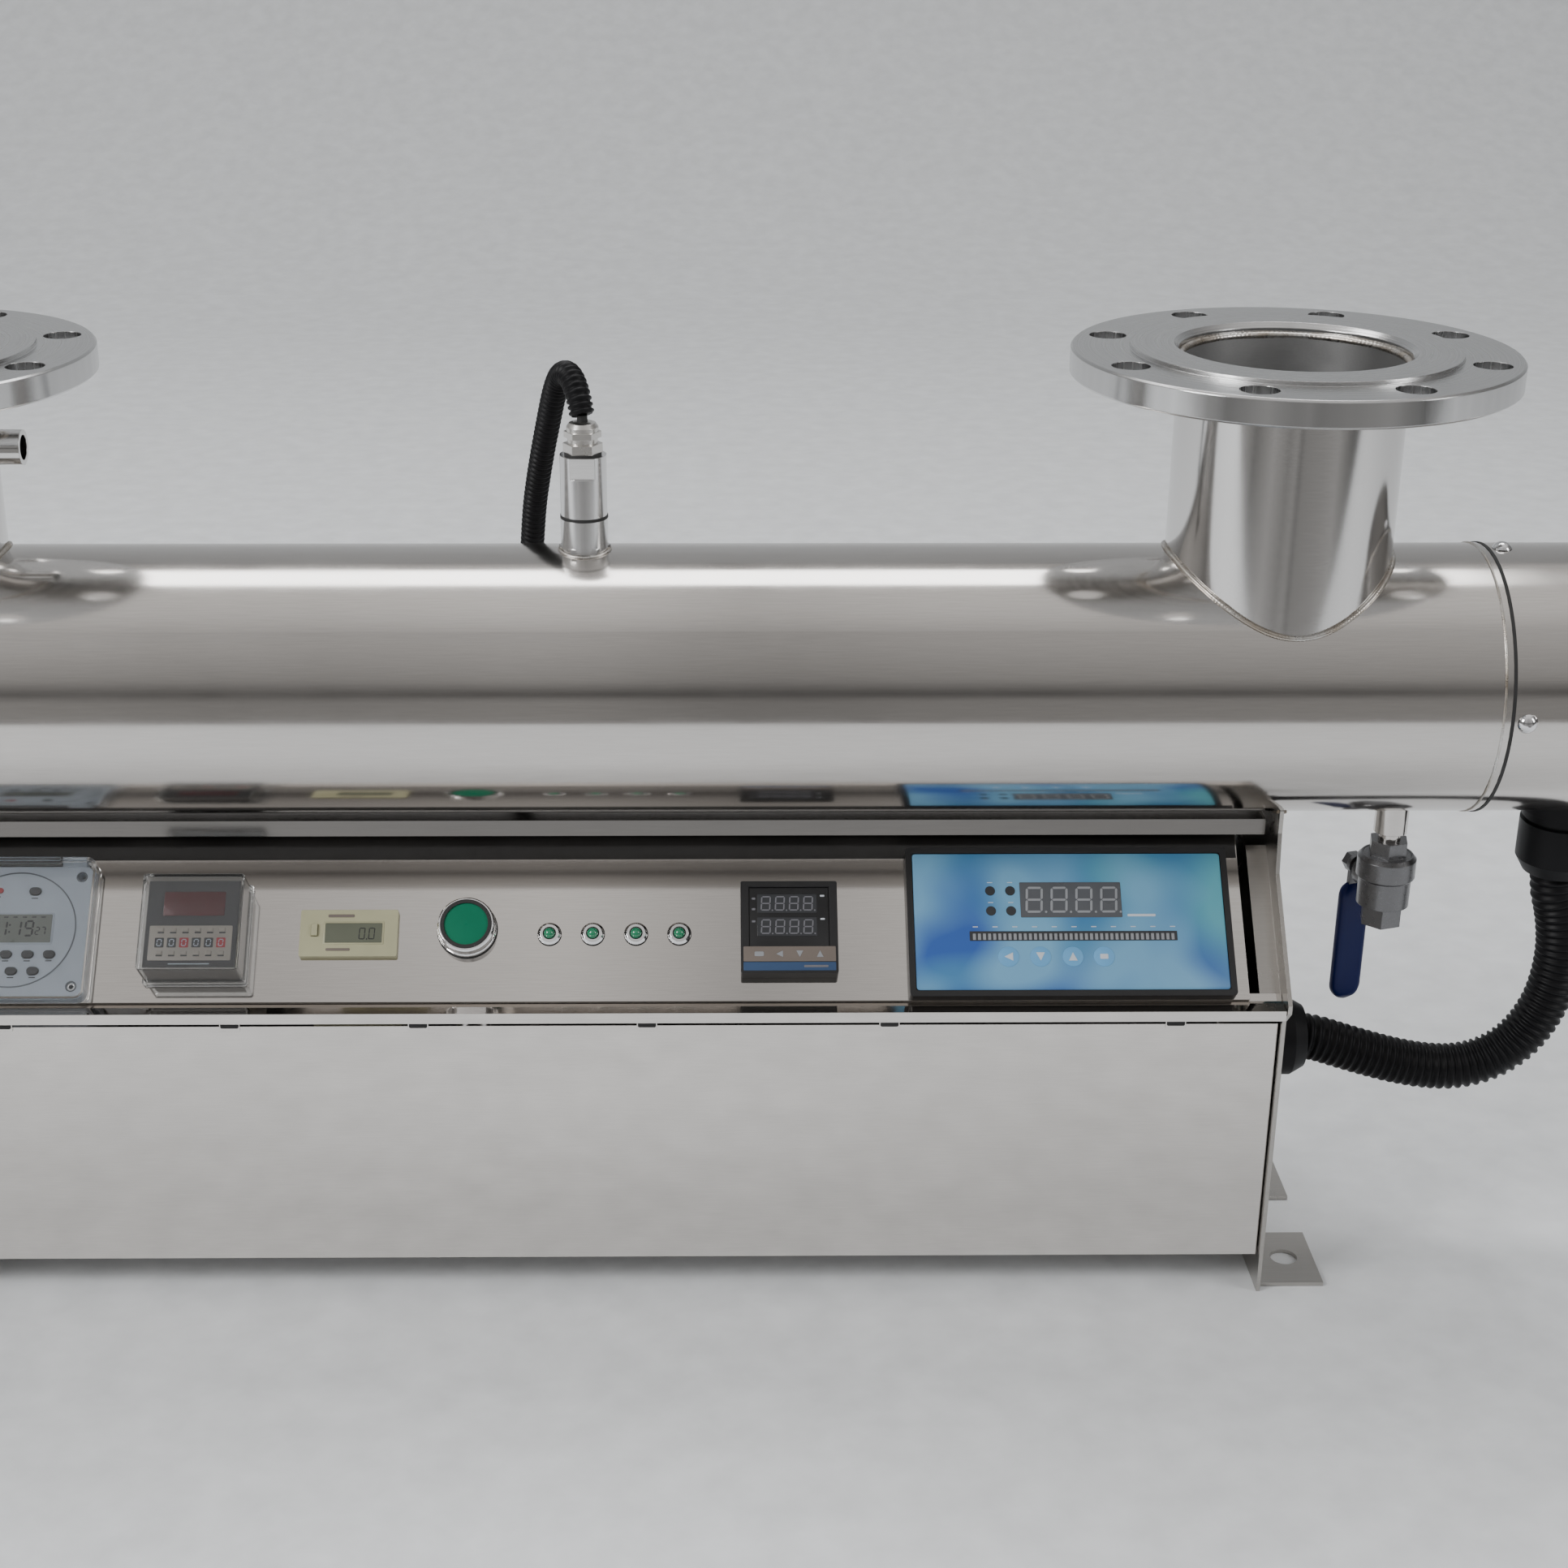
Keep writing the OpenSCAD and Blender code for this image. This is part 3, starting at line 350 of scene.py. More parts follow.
PALE_KEY = plastic("pale_key", (0.14, 0.4, 0.7), 0.35)
# Glossy near-black plastic for the strip under the hood: painted shade of the hood.
HOOD_SHADE_PAINT = plastic("hood_shade_strip", (0.02, 0.019, 0.018), 0.22, 0.1, 300)
FILM = monitor_film("monitor_film")

LOOKS = {
    STEEL: ("chamber_tube", "end_caps", "tube_sheets", "baffle_plates", "drain_socket", "sleeve_nuts"),
    NECK_STEEL: ("port_necks", "sampling_nipple"),
    FLANGE_STEEL: ("port_flanges",),
    SENSOR_STEEL: ("sensor_socket", "sensor_body"),
    NICKEL: ("sensor_gland",),
    CHROME: ("end_cap_screws", "start_button_bezel", "indicator_bezels", "valve_ball"),
    VALVE_STEEL: ("valve_body", "valve_tailpiece", "valve_stem", "valve_handle", "handle_nut"),
    SIDE_SHEET: ("left_side_plate", "right_side_plate"),
    HOOD_SHEET: ("top_plate",),
    SHEET: ("front_rail", "instrument_panel", "front_cover", "back_panel", "base_plate"),
    BLACK_RUBBER: ("rubber_seals", "sensor_cable"),
    BLACK_NYLON: ("conduit_glands", "entry_glands"),
    QUARTZ: ("quartz_sleeves", "sensor_window"),
    LAMP: ("uv_lamps",),
    CERAMIC: ("lamp_ends",),
    PTFE: ("valve_seats",),
    GALVANISED: ("ballasts",),
    TERMINAL: ("terminal_block",),
    GREY_PLASTIC: ("timer_case",),
    KEY_RUBBER: tuple(name for name in nodes if name.startswith("timer_key_")),
    CLEAR: ("timer_cover", "relay_cover"),
    DARK_PLASTIC: ("relay_case",),
    CREAM: ("hour_meter", "hour_reset_key"),
    GREEN: ("start_button_cap",),
    GREEN_LENS: ("indicator_lenses",),
    BLACK_ABS: ("controller", "monitor"),
}


def dress_nodes():
    """Gives each CAD node its material, in every slot that it has."""
    for mat, names in LOOKS.items():
        for name in names:
            slots = nodes[name].data.materials
            if not slots:
                slots.append(mat)
            for i in range(len(slots)):
                slots[i] = mat


dress_nodes()


# ---------------------------------------------------------------- mesh making

def even_angles(count):
    """Angles of one full turn, count of them, from zero."""
    return [2 * math.pi * i / count for i in range(count)]


def band(i, j, n):
    """Quads between the closed rings i and j, of n points each."""
    return [(i * n + k, i * n + (k + 1) % n, j * n + (k + 1) % n, j * n + k) for k in range(n)]


class Maker:
    """Collects faces in a local frame, then makes one object of them."""

    def __init__(self, place=None):
        self.place = place or Matrix.Identity(4)
        self.verts = []
        self.faces = []
        self.looks = []
        self.mats = []

    def put(self, verts, faces, mat):
        """Adds faces of one material. Points are in the local frame."""
        if mat not in self.mats:
            self.mats.append(mat)
        start = len(self.verts)
        self.verts += [self.place @ Vector(v) for v in verts]
        self.faces += [tuple(start + i for i in f) for f in faces]
        self.looks += [self.mats.index(mat)] * len(faces)

    def prism(self, outline, z0, z1, mat, edge=0.0):
        """Upright prism with an outline that runs anticlockwise, and its top edge eased by edge."""
        n = len(outline)
        middle = [sum(p[k] for p in outline) / n for k in (0, 1)]
        reach = max(math.hypot(p[0] - middle[0], p[1] - middle[1]) for p in outline)
        shrink = 1 - edge / reach
        levels = [(z0, 1.0), (z1 - edge, 1.0), (z1 - edge * 0.3, 1 - (1 - shrink) * 0.3), (z1, shrink)]
        if edge == 0:
            levels = [(z0, 1.0), (z1, 1.0)]
        verts = [(middle[0] + (x - middle[0]) * s, middle[1] + (y - middle[1]) * s, z)
                 for z, s in levels for x, y in outline]
        faces = [face for r in range(len(levels) - 1) for face in band(r, r + 1, n)]
        faces += [tuple(range(n))[::-1], tuple((len(levels) - 1) * n + i for i in range(n))]
        self.put(verts, faces, mat)

    def ring(self, x, y, r_in, r_out, z0, z1, mat, sides=48):
        """Upright ring with its top edges eased."""
        verts, faces = [], []
        ease = min(0.25 * (r_out - r_in), 0.25 * (z1 - z0))
        profile = [(r_in, z0), (r_out, z0), (r_out, z1 - ease), (r_out - ease, z1), (r_in + ease, z1),
                   (r_in, z1 - ease)]
        for a in even_angles(sides):
            verts += [(x + r * math.cos(a), y + r * math.sin(a), z) for r, z in profile]
        n = len(profile)
        for i in range(sides):
            j = (i + 1) % sides
            faces += [(i * n + k, j * n + k, j * n + (k + 1) % n, i * n + (k + 1) % n) for k in range(n)]
        self.put(verts, faces, mat)

    def sweep(self, line, radii, mat, sides, closed=False):
        """Tube round a line, with one radius for each point."""
        count = len(line)
        side = None
        verts, faces = [], []
        for i, point in enumerate(line):
            after = line[(i + 1) % count] if closed or i < count - 1 else point
            before = line[i - 1] if closed or i > 0 else point
            along = (after - before).normalized()
            side = side or along.orthogonal()
            side = (side - along * side.dot(along)).normalized()
            other = along.cross(side)
            for a in even_angles(sides):
                verts.append(point + radii[i] * (math.cos(a) * side + math.sin(a) * other))
        for i in range(count if closed else count - 1):
            faces += band(i, (i + 1) % count, sides)
        if not closed:
            faces += [tuple(range(sides))[::-1], tuple((count - 1) * sides + k for k in range(sides))]
        self.put(verts, faces, mat)

    def make(self, name, body, smooth=35):
        """One object of all faces, on a body. Edges over smooth degrees stay sharp."""
        mesh = bpy.data.meshes.new(name)
        mesh.from_pydata(self.verts, [], self.faces)
        for mat in self.mats:
            mesh.materials.append(mat)
        mesh.polygons.foreach_set("material_index", self.looks)
        mesh.polygons.foreach_set("use_smooth", [smooth > 0] * len(self.faces))
        mesh.set_sharp_from_angle(angle=math.radians(smooth or 1))
        mesh.update()
        piece = bpy.data.objects.new(name, mesh)
        bpy.context.scene.collection.objects.link(piece)
        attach(piece, body)
        return piece


def circle(x, y, r, sides=32):
    """Circle outline, anticlockwise."""
    return [(x + r * math.cos(a), y + r * math.sin(a)) for a in even_angles(sides)]


def rounded(x, y, w, h, r, steps=5):
    """Rectangle outline with rounded corners, anticlockwise."""
    out = []
    for cx, cy, start in ((1, 1, 0), (-1, 1, 90), (-1, -1, 180), (1, -1, 270)):
        for k in range(steps + 1):
            a = math.radians(start + 90 * k / steps)
            out.append((x + cx * (w / 2 - r) + r * math.cos(a), y + cy * (h / 2 - r) + r * math.sin(a)))
    return out


def panel_place(x, up):
    """Frame on the sloping panel: X across, Y up the slope, Z out of it. Arguments in millimetres."""
    turn = Matrix.Rotation(SLOPE, 4, "X")
    return Matrix.Translation(PANEL_FOOT) @ turn @ Matrix.Translation((x * MM, up * MM, 0)) \
        @ Matrix.Scale(MM, 4)


# ---------------------------------------------------------------- cords

def smooth_line(points, steps):
    """Catmull-Rom curve through the points, as in the CAD model."""
    p = [Vector(q) * MM for q in points]
    out = []
    for i in range(len(p) - 1):
        a, b, c, d = p[max(i - 1, 0)], p[i], p[i + 1], p[min(i + 2, len(p) - 1)]
        for s in range(steps):
            t = s / steps
            out.append(0.5 * (2 * b + (c - a) * t + (2 * a - 5 * b + 4 * c - d) * t * t
                              + (3 * b - a - 3 * c + d) * t ** 3))
    return out + [p[-1]]


def even_line(line, step):
    """The same line with points an even step apart."""
    out, left = [line[0]], step
    for a, b in zip(line, line[1:]):
        while (b - a).length >= left:
            a = a + (b - a).normalized() * left
            out.append(a)
            left = step
        left -= (b - a).length
    return out + [line[-1]]


RIDGE_ROOM = 0.3    # millimetres from the ridges to the CAD model's smooth tube
RIDGE_SHAPE = (0.0, 0.15, 0.85, 1.0, 0.85, 0.15)   # from a valley over a ridge, at even steps of one pitch
CURVE_STEPS = 24    # points between two places of a route


def corrugated(name, points, diameter, pitch, depth, sides, node, length, stiffness, **facts):
    """Corrugated conduit: round ridges and narrower valleys. All in millimetres, but for length, which is
    not used.
    """
    steps = len(RIDGE_SHAPE)
    fine = even_line(smooth_line(points, CURVE_STEPS), pitch * MM / steps)
    crest = diameter / 2 - RIDGE_ROOM
    radii = [(crest - depth * (1 - RIDGE_SHAPE[i % steps])) * MM for i in range(len(fine))]
    maker = Maker()
    maker.sweep(fine, radii, BLACK_NYLON, sides)
    piece = maker.make(name, "root", 60)
    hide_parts(node)


LAMP_ROUTE = (
    (371, 0, 112), (380, 0, 110), (392, 0, 106), (406, 0, 101.5), (422, 0, 97), (438, 0, 94),
    (453, 0, 93.5), (468, 0, 97), (481, 0, 105), (491, 0, 117), (498, 0, 133), (501, 0, 150),
    (501, 0, 167), (498, 0, 184), (494.5, 0, 196), (493, 0, 207),
)
SENSOR_ROUTE = (
    (-1, 0, 445), (-3, 4, 453.5), (-5.5, 10, 459), (-8.5, 17, 461), (-11.5, 24, 459), (-14, 30, 454),
    (-16.5, 35.5, 446), (-20, 43, 431), (-24.5, 52, 410), (-29, 62.5, 385), (-32, 73, 358), (-34, 80, 335),
    (-36, 84, 310), (-39, 88, 280), (-43, 92, 250), (-47, 97, 220), (-50.5, 102, 193),
    (-53.5, 106, 172), (-56, 107, 158), (-57.5, 103, 144), (-58, 95, 136.5), (-58, 86, 134),
)
corrugated("corrugated_lamp_conduit", LAMP_ROUTE, 25, 4.2, 1.6, 40, "lamp_conduit", 0.224, "stiff")
corrugated("corrugated_sensor_conduit", SENSOR_ROUTE, 13, 2.9, 1.1, 28, "sensor_conduit", 0.389, "medium",
           with_pieces=[nodes["sensor_cable"]])


# ---------------------------------------------------------------- weld beads

def bead(maker, line, radius, closed=True):
    """Ripple weld along a line: the radius swells and shrinks once a ripple."""
    step = radius * 0.45
    line = even_line(line + [line[0]] if closed else line, step)
    if closed:
        line = line[:-1]
    radii = [radius * (0.84 + 0.16 * abs(math.sin(1.1 * i)) + 0.05 * math.sin(0.13 * i))
             for i in range(len(line))]
    maker.sweep(line, radii, WELD, 8, closed)


def saddle(x, r, outward, turns=160):
    """Where an upright pipe of radius r at x meets the chamber."""
    out = []
    for a in even_angles(turns):
        y = r * math.sin(a)
        top = math.sqrt(max(0.0, (CHAMBER_R + 0.2 * MM) ** 2 - y * y))
        out.append(Vector((x + r * math.cos(a), y, AXIS_Z + outward * top)))
    return out


def hoop(x, r, turns=200):
    """Circle of radius r round the chamber's axis."""
    return [Vector((x, r * math.cos(a), AXIS_Z + r * math.sin(a))) for a in even_angles(turns)]


def level_ring(x, z, r, turns=160):
    """Level circle of radius r round a port's axis."""
    return [Vector((x + r * math.cos(a), r * math.sin(a), z)) for a in even_angles(turns)]


def make_welds():
    """Beads round the necks, the tube's ends, the flanges, the sensor and the drain."""
    maker = Maker()
    for side in (-1, 1):
        bead(maker, saddle(side * PORT_X, NECK_R + 0.6 * MM, 1), 1.3 * MM)
        bead(maker, hoop(side * TUBE_HALF, CHAMBER_R - 0.1 * MM), 0.7 * MM)
        bead(maker, level_ring(side * PORT_X, NECK_TOP + 0.2 * MM, NECK_R - 1.2 * MM), 1.8 * MM)
        bead(maker, level_ring(side * PORT_X, flange_low[2] - 0.1 * MM, NECK_R + 0.8 * MM), 1.2 * MM)
    bead(maker, saddle(SENSOR_X, 12.3 * MM, 1, 60), 0.8 * MM)
    bead(maker, saddle(DRAIN_X, 8.9 * MM, -1, 60), 0.9 * MM)
    maker.make("weld_beads", "root", 60)


def make_plate_welds():
    """Beads under the chamber, on both faces of each side plate."""
    plates = Maker()
    radius = CHAMBER_R + 0.5 * MM
    turns = [math.radians(a) for a in range(-24, 25, 2)]
    off = 0.8
    for side in (-1, 1):
        for inward in (-off, PLATE_THICK + off):
            x = side * (PLATE_FACE - inward) * MM
            arc = [Vector((x, radius * math.sin(a), AXIS_Z - radius * math.cos(a))) for a in turns]
            bead(plates, arc, 0.9 * MM, False)
    plates.make("plate_welds", "root", 60)


make_welds()
make_plate_welds()


# ---------------------------------------------------------------- gaskets and liners

def hollow_ring(maker, axis_point, r_in, r_out, a, b, mat, along_x=False, sides=128):
    """Plain ring with square edges, round X or Z, from a to b along it."""
    verts = []
    for turn in even_angles(sides):
        c, s = math.cos(turn), math.sin(turn)
        for r, t in ((r_in, a), (r_out, a), (r_out, b), (r_in, b)):
            step = Vector((t, r * c, r * s)) if along_x else Vector((r * c, r * s, t))
            verts.append(Vector(axis_point) + step)
    faces = [face for i in range(sides) for face in band(i, (i + 1) % sides, 4)]
    maker.put(verts, faces, mat)


CAP_SEAM = 4.1 * MM                       # from the tube's end to the seam of the end cap
BORE_LINER = (51.7 * MM, 51.95 * MM)      # radii of the thin liner in a port's bore
LINER_HEIGHTS = (0.378, 0.4715)


def make_rings():
    """Gaskets in the seams of the end caps, and dull liners in the bores of the ports."""
    joints = Maker()
    liners = Maker()
    for side in (-1, 1):
        middle = side * (TUBE_HALF + CAP_SEAM)
        hollow_ring(joints, (middle, 0, AXIS_Z), 66 * MM, CHAMBER_R + 0.55 * MM, -0.7 * MM, 0.9 * MM,
                    BLACK_RUBBER, True)
        hollow_ring(liners, (side * PORT_X, 0, 0), *BORE_LINER, *LINER_HEIGHTS, BORE_STEEL)
    joints.make("cap_gaskets", "root")
    liners.make("bore_liners", "root")


make_rings()


# ---------------------------------------------------------------- handle grip

VALVE_TURN = math.radians(18)   # of the drain valve about its upright axis
GRIP_OUT = 25.25 * MM           # from the valve's axis to the middle of the handle's strip
GRIP_START = 10 * MM            # along the handle, from the stem
GRIP_NECK = (5.2, 3.3)          # half width at the start, and how much it gains over the next 7 mm
GRIP_HALF = 8.5 * MM            # half width from there on, and radius of the round end
GRIP_THICK = 2.9 * MM           # half thickness


def make_grip():
    """Dipped vinyl grip: fat, with rounded edges, replacing the plain sleeve."""
    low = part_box("handle_sleeve")[0]
    pivot = Vector((DRAIN_X, 0, VALVE_Z))
    across = Vector((math.cos(VALVE_TURN), math.sin(VALVE_TURN), 0))
    out = Vector((-math.sin(VALVE_TURN), math.cos(VALVE_TURN), 0))
    down = Vector((0, 0, -1))
    length = pivot.z - low[2]
    verts, faces = [], []
    sides, rings = 28, 44
    for i in range(rings):
        t = i / (rings - 1)
        d = GRIP_START + (length - GRIP_START) * (0.5 - 0.5 * math.cos(math.pi * t))
        head = min(1, (d - GRIP_START) / (7 * MM))
        half = (GRIP_NECK[0] + GRIP_NECK[1] * math.sin(head * math.pi / 2)) * MM
        left = length - d
        if left < GRIP_HALF:
            half = math.sqrt(max(0.0, GRIP_HALF ** 2 - (GRIP_HALF - left) ** 2))
        half = max(half, 0.4 * MM)
        ease = min(1, min(d - GRIP_START, left) / (2.5 * MM))
        thick = GRIP_THICK * min(1, 0.35 + 0.65 * ease)
        for a in even_angles(sides):
            c, s = math.cos(a), math.sin(a)
            flat = abs(c) ** 0.35 * math.copysign(1, c)
            deep = abs(s) ** 0.55 * math.copysign(1, s)
            verts.append(pivot + across * half * flat + out * (GRIP_OUT + thick * deep) + down * d)
    for i in range(rings - 1):
        for k in range(sides):
            j = (k + 1) % sides
            faces.append((i * sides + k, (i + 1) * sides + k, (i + 1) * sides + j, i * sides + j))
    faces += [tuple(range(sides)), tuple((rings - 1) * sides + k for k in range(sides))[::-1]]
    maker = Maker()
    maker.put(verts, faces, BLUE_VINYL)
    grip = maker.make("vinyl_grip", "drain_handle", 70)
    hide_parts("handle_sleeve")


make_grip()


# ---------------------------------------------------------------- instrument faces, in millimetres

BARS = {   # both ends of each bar of a figure, in half widths and half heights
    "a": ((-1, 1), (1, 1)), "b": ((1, 0), (1, 1)), "c": ((1, -1), (1, 0)), "d": ((-1, -1), (1, -1)),
    "e": ((-1, -1), (-1, 0)), "f": ((-1, 0), (-1, 1)), "g": ((-1, 0), (1, 0)),
}
SEGMENTS = {
    "0": "abcdef", "1": "bc", "2": "abged", "3": "abgcd", "4": "fgbc", "5": "afgcd", "6": "afgedc",
    "7": "abc", "8": "abcdefg", "9": "abcdfg",
}


def digit(maker, char, x, y, w, h, z, mat, stroke=0.16, lean=0.06):
    """Seven-segment figure centred on x, y, made of six-sided bars."""
    t = stroke * w
    for name in SEGMENTS[char]:
        (x0, y0), (x1, y1) = ((u * w / 2, v * h / 2) for u, v in BARS[name])
        along = Vector((x1 - x0, y1 - y0)).normalized()
        across = Vector((-along.y, along.x)) * t / 2
        a = Vector((x0, y0)) + along * t * 0.2
        b = Vector((x1, y1)) - along * t * 0.2
        cut = along * t / 2
        outline = [a, a + cut - across, b - cut - across, b, b - cut + across, a + cut + across]
        maker.prism([(x + p.x + lean * p.y, y + p.y) for p in outline], z - 0.05, z + 0.06, mat)


def label_dash(maker, x, y, w, z, mat, h=0.5):
    """Short bar that stands for a printed word."""
    maker.prism(rounded(x, y, w, h, h * 0.3, 2), z - 0.05, z + 0.04, mat)


def timer_face():
    """Dial ring, display, word bars and corner screws of the weekly timer, under its cover."""
    maker = Maker(panel_place(*TIMER_AT))
    face = 6   # above the panel, as in the other instruments
    maker.ring(-2, 1, 29.5, 30.2, face - 0.1, face + 0.25, RING_GREY, 96)
    maker.prism(rounded(-2, 1.5, 38, 16.5, 1), face - 0.1, face + 0.2, GREY_PLASTIC, 0.1)
    maker.prism(rounded(-2, 1.5, 36, 14.6, 0.5), face + 0.1, face + 0.3, TIMER_LCD)
    # Hours and minutes, small seconds, the colon and the row of days
    for x, char in ((-8, "1"), (-1, "1"), (5, "9")):
        digit(maker, char, x, 1.5, 3.6, 7.5, face + 0.35, INK, 0.27)
    for x, char in ((9.2, "2"), (12.2, "7")):
        digit(maker, char, x, 0.2, 1.8, 3.8, face + 0.35, INK, 0.3)
    for y in (-0.3, 3.3):
        maker.prism(circle(-4.6, y, 0.5, 12), face + 0.25, face + 0.4, INK)
    for i in range(7):
        label_dash(maker, -16 + i * 4.6, 7.4, 2.2, face + 0.35, INK, 0.6)
    # Red lamp, words beside the lamp and above the keys, and screws in two corners
    maker.prism(rounded(-12.4, 21.4, 5.4, 2.8, 1.3), face - 0.1, face + 0.7, RED, 0.3)
    for x, y in ((6.1, 17.4), (-15.6, -15.3), (-5, -15.3), (5.6, -15.3), (16.2, -15.3), (-1.6, -23.9),
                 (9, -23.9), (-12.4, 18.2)):
        label_dash(maker, x, y, 3.2, face + 0.05, INK)
    corner = 28.5
    for x, y in ((corner, -corner), (-corner, corner)):
        maker.ring(x, y, 1.1, 2.1, face - 1.5, face - 0.6, CHROME, 24)
    for x in (-corner, corner):
        for y in (corner, -corner):
            maker.ring(x, y, 2.1, 2.8, face - 0.1, face + 0.2, RING_GREY, 24)
    maker.make("timer_dial", "root")


def relay_face():
    """Display and six thumbwheels of the time relay, with a key above and below each."""
    maker = Maker(panel_place(*RELAY_AT))
    face = 18
    # Dark face, red window and the pale plate that holds the thumbwheels
    maker.prism(rounded(0, 0, 44.6, 44.6, 0.8), face - 0.1, face + 0.1, DARK_PLASTIC)
    maker.prism(rounded(0.6, 10.4, 30, 12.4, 0.5), face, face + 0.3, RED_WINDOW, 0.1)
    maker.prism(rounded(0, -10, 40.4, 17.8, 0.6), face, face + 0.65, BEIGE, 0.15)
    wheel_y = -9.9
    for i in range(6):
        x = -15 + i * 6
        shade = RED if i in (2, 5) else KEY_RUBBER
        maker.prism(rounded(x, wheel_y, 4.4, 5, 0.4), face + 0.5, face + 0.72, shade)
        digit(maker, "0", x, wheel_y, 2, 3.2, face + 0.76, GREY_PLASTIC, 0.24)
        for y in (-3.4, -15.2):
            maker.prism(rounded(x + 0.4, y, 2.9, 2.0, 0.4), face + 0.5, face + 1.3, BEIGE, 0.3)
            # Dark line just below each key: painted shadow of the key.
            maker.prism(rounded(x + 0.4, y - 1.35, 3.1, 0.8, 0.2), face + 0.5, face + 0.7, DARK_PLASTIC)
    label_dash(maker, 0, -20.6, 20, face + 0.15, GREY_PLASTIC, 0.5)
    maker.make("relay_face", "root")


def hour_face():
    """Display of the hour meter, between two printed bars."""
    maker = Maker(panel_place(*HOUR_METER_AT))
    face = 3
    maker.prism(rounded(2.4, 0, 30, 12, 0.5), face - 0.1, face + 0.2, CREAM, 0.1)
    maker.prism(rounded(2.4, 0, 28.2, 10.2, 0.3), face + 0.1, face + 0.3, HOUR_LCD)
    for x in (6.6, 11.4):
        digit(maker, "0", x, -0.4, 2.6, 5.6, face + 0.34, INK)
    maker.prism(circle(9, -3.2, 0.35, 10), face + 0.25, face + 0.4, INK)
    label_dash(maker, -4, 9, 13, face + 0.05, BRONZE_FILM, 1.6)
    label_dash(maker, -5, -8.6, 12, face + 0.05, BRONZE_FILM, 1.4)
    maker.make("hour_display", "root")


def arrow(x, y, size, turn):
    """Outline of a small triangle that points up, turned by turn."""
    corners = ((-0.6, -0.6), (0.6, -0.6), (0.0, 0.6))
    c, s = math.cos(turn), math.sin(turn)
    return [(x + size * (c * a - s * b), y + size * (s * a + c * b)) for a, b in corners]


def controller_face():
    """Two unlit displays and the film keys of the temperature controller."""
    maker = Maker(panel_place(*CONTROLLER_AT))
    floor, film = 7, 7.9
    maker.prism(rounded(0, 4.2, 39.6, 33.2, 0.6), floor - 0.1, floor + 0.4, BLACK_ABS, 0.15)
    for y in (12.4, 0.2):
        maker.prism(rounded(-1, y, 29.5, 9.8, 0.4), floor + 0.3, floor + 0.5, WINDOW)
        for i in range(4):
            digit(maker, "8", -11.5 + i * 7, y, 4.2, 7, floor + 0.54, SEGMENT)
            maker.prism(circle(-8.2 + i * 7, y - 3.6, 0.4, 10), floor + 0.45, floor + 0.6, SEGMENT)
    # Lamps at the left, units at the right, then the two films with their keys
    for y in (9.4, 15, 3):
        label_dash(maker, -17.6, y, 1.8, floor + 0.45, SEGMENT, 1.1)
    for y in (16.4, 4.2):
        label_dash(maker, 16.6, y, 2.2, floor + 0.45, WHITE_INK, 0.9)
    keys_y, strip_y = -14.2, -20.6
    maker.prism(rounded(0, keys_y, 45.6, 7.8, 0.5), film, film + 0.25, BRONZE_FILM)
    maker.prism(rounded(0, strip_y, 45.6, 4.4, 0.5), film, film + 0.22, BLUE_FILM)
    label_dash(maker, 13, strip_y, 12, film + 0.25, SEGMENT, 1.2)
    maker.prism(rounded(-15, keys_y, 4.6, 2.4, 0.6), film + 0.2, film + 0.35, PALE_SEGMENT)
    for x, turn in ((-5, math.pi / 2), (5, math.pi), (15, 0)):
        maker.prism(arrow(x, keys_y, 2.8, turn), film + 0.2, film + 0.35, PALE_SEGMENT)
    maker.make("controller_face", "root")


def monitor_face():
    """Film, lamps, unlit display, bar graph and four film keys of the monitor."""
    maker = Maker(panel_place(*MONITOR_AT))
    floor = 6
    maker.prism(rounded(0, 2, 154.4, 71.4, 1.6), floor - 0.1, floor + 0.5, FILM, 0.15)
    top = floor + 0.5
    lamp_xs = (-38.8, -28.8)
    for x in lamp_xs:
        for y in (18, 7.4):
            maker.prism(circle(x, y, 2.5), top - 0.05, top + 0.12, WINDOW)
    maker.prism(rounded(1.2, 13.2, 50.5, 18.6, 0.5), top - 0.05, top + 0.14, GREY_WINDOW)
    for i in range(4):
        digit(maker, "8", -17 + i * 12.4, 13.2, 7.4, 12.6, top + 0.2, PALE_SEGMENT, 0.16)
        maker.prism(circle(-11.4 + i * 12.4, 6.8, 0.6, 12), top + 0.12, top + 0.24, PALE_SEGMENT)
    # Bar graph of forty bars, with its scale above
    bars, pitch = 40, 2.525
    maker.prism(rounded(1.5, -5.8, 103, 5, 0.3), top - 0.05, top + 0.12, WINDOW)
    for i in range(bars):
        bar = rounded(-47.7 + i * pitch, -6.2, 1.45, 3.3, 0.2, 2)
        maker.prism(bar, top + 0.1, top + 0.2, PALE_SEGMENT)
    for i in range(11):
        label_dash(maker, -47 + i * 9.8, -1, 2.6, top + 0.05, WHITE_INK, 0.5)
    label_dash(maker, 36, 5, 14, top + 0.05, WHITE_INK, 1.3)
    for y in (22.4, 11.8):
        for x in lamp_xs:
            label_dash(maker, x, y, 2.6, top + 0.05, WHITE_INK, 0.4)
    key_y = -16.6
    for x, turn in ((-31.2, math.pi / 2), (-15.4, math.pi), (0.6, 0), (16, None)):
        maker.prism(circle(x, key_y, 5.2), top - 0.05, top + 0.25, PALE_KEY, 0.2)
        mark = rounded(x, key_y, 4, 2.6, 0.4) if turn is None else arrow(x, key_y, 3.6, turn)
        maker.prism(mark, top + 0.2, top + 0.34, WHITE_INK)
    maker.make("monitor_face", "root")


def hood_shade_strip():
    """Dark strip along the top of the panel, under the hood: painted shade that stands for the hood's
    shadow on the panel.
    """
    maker = Maker(panel_place(0, 0))
    half, foot, top = 325, 75.5, 88.8
    maker.prism([(-half, foot), (half, foot), (half, top), (-half, top)], 0.02, 0.4, HOOD_SHADE_PAINT)
    maker.make("hood_shade_strip", "root")


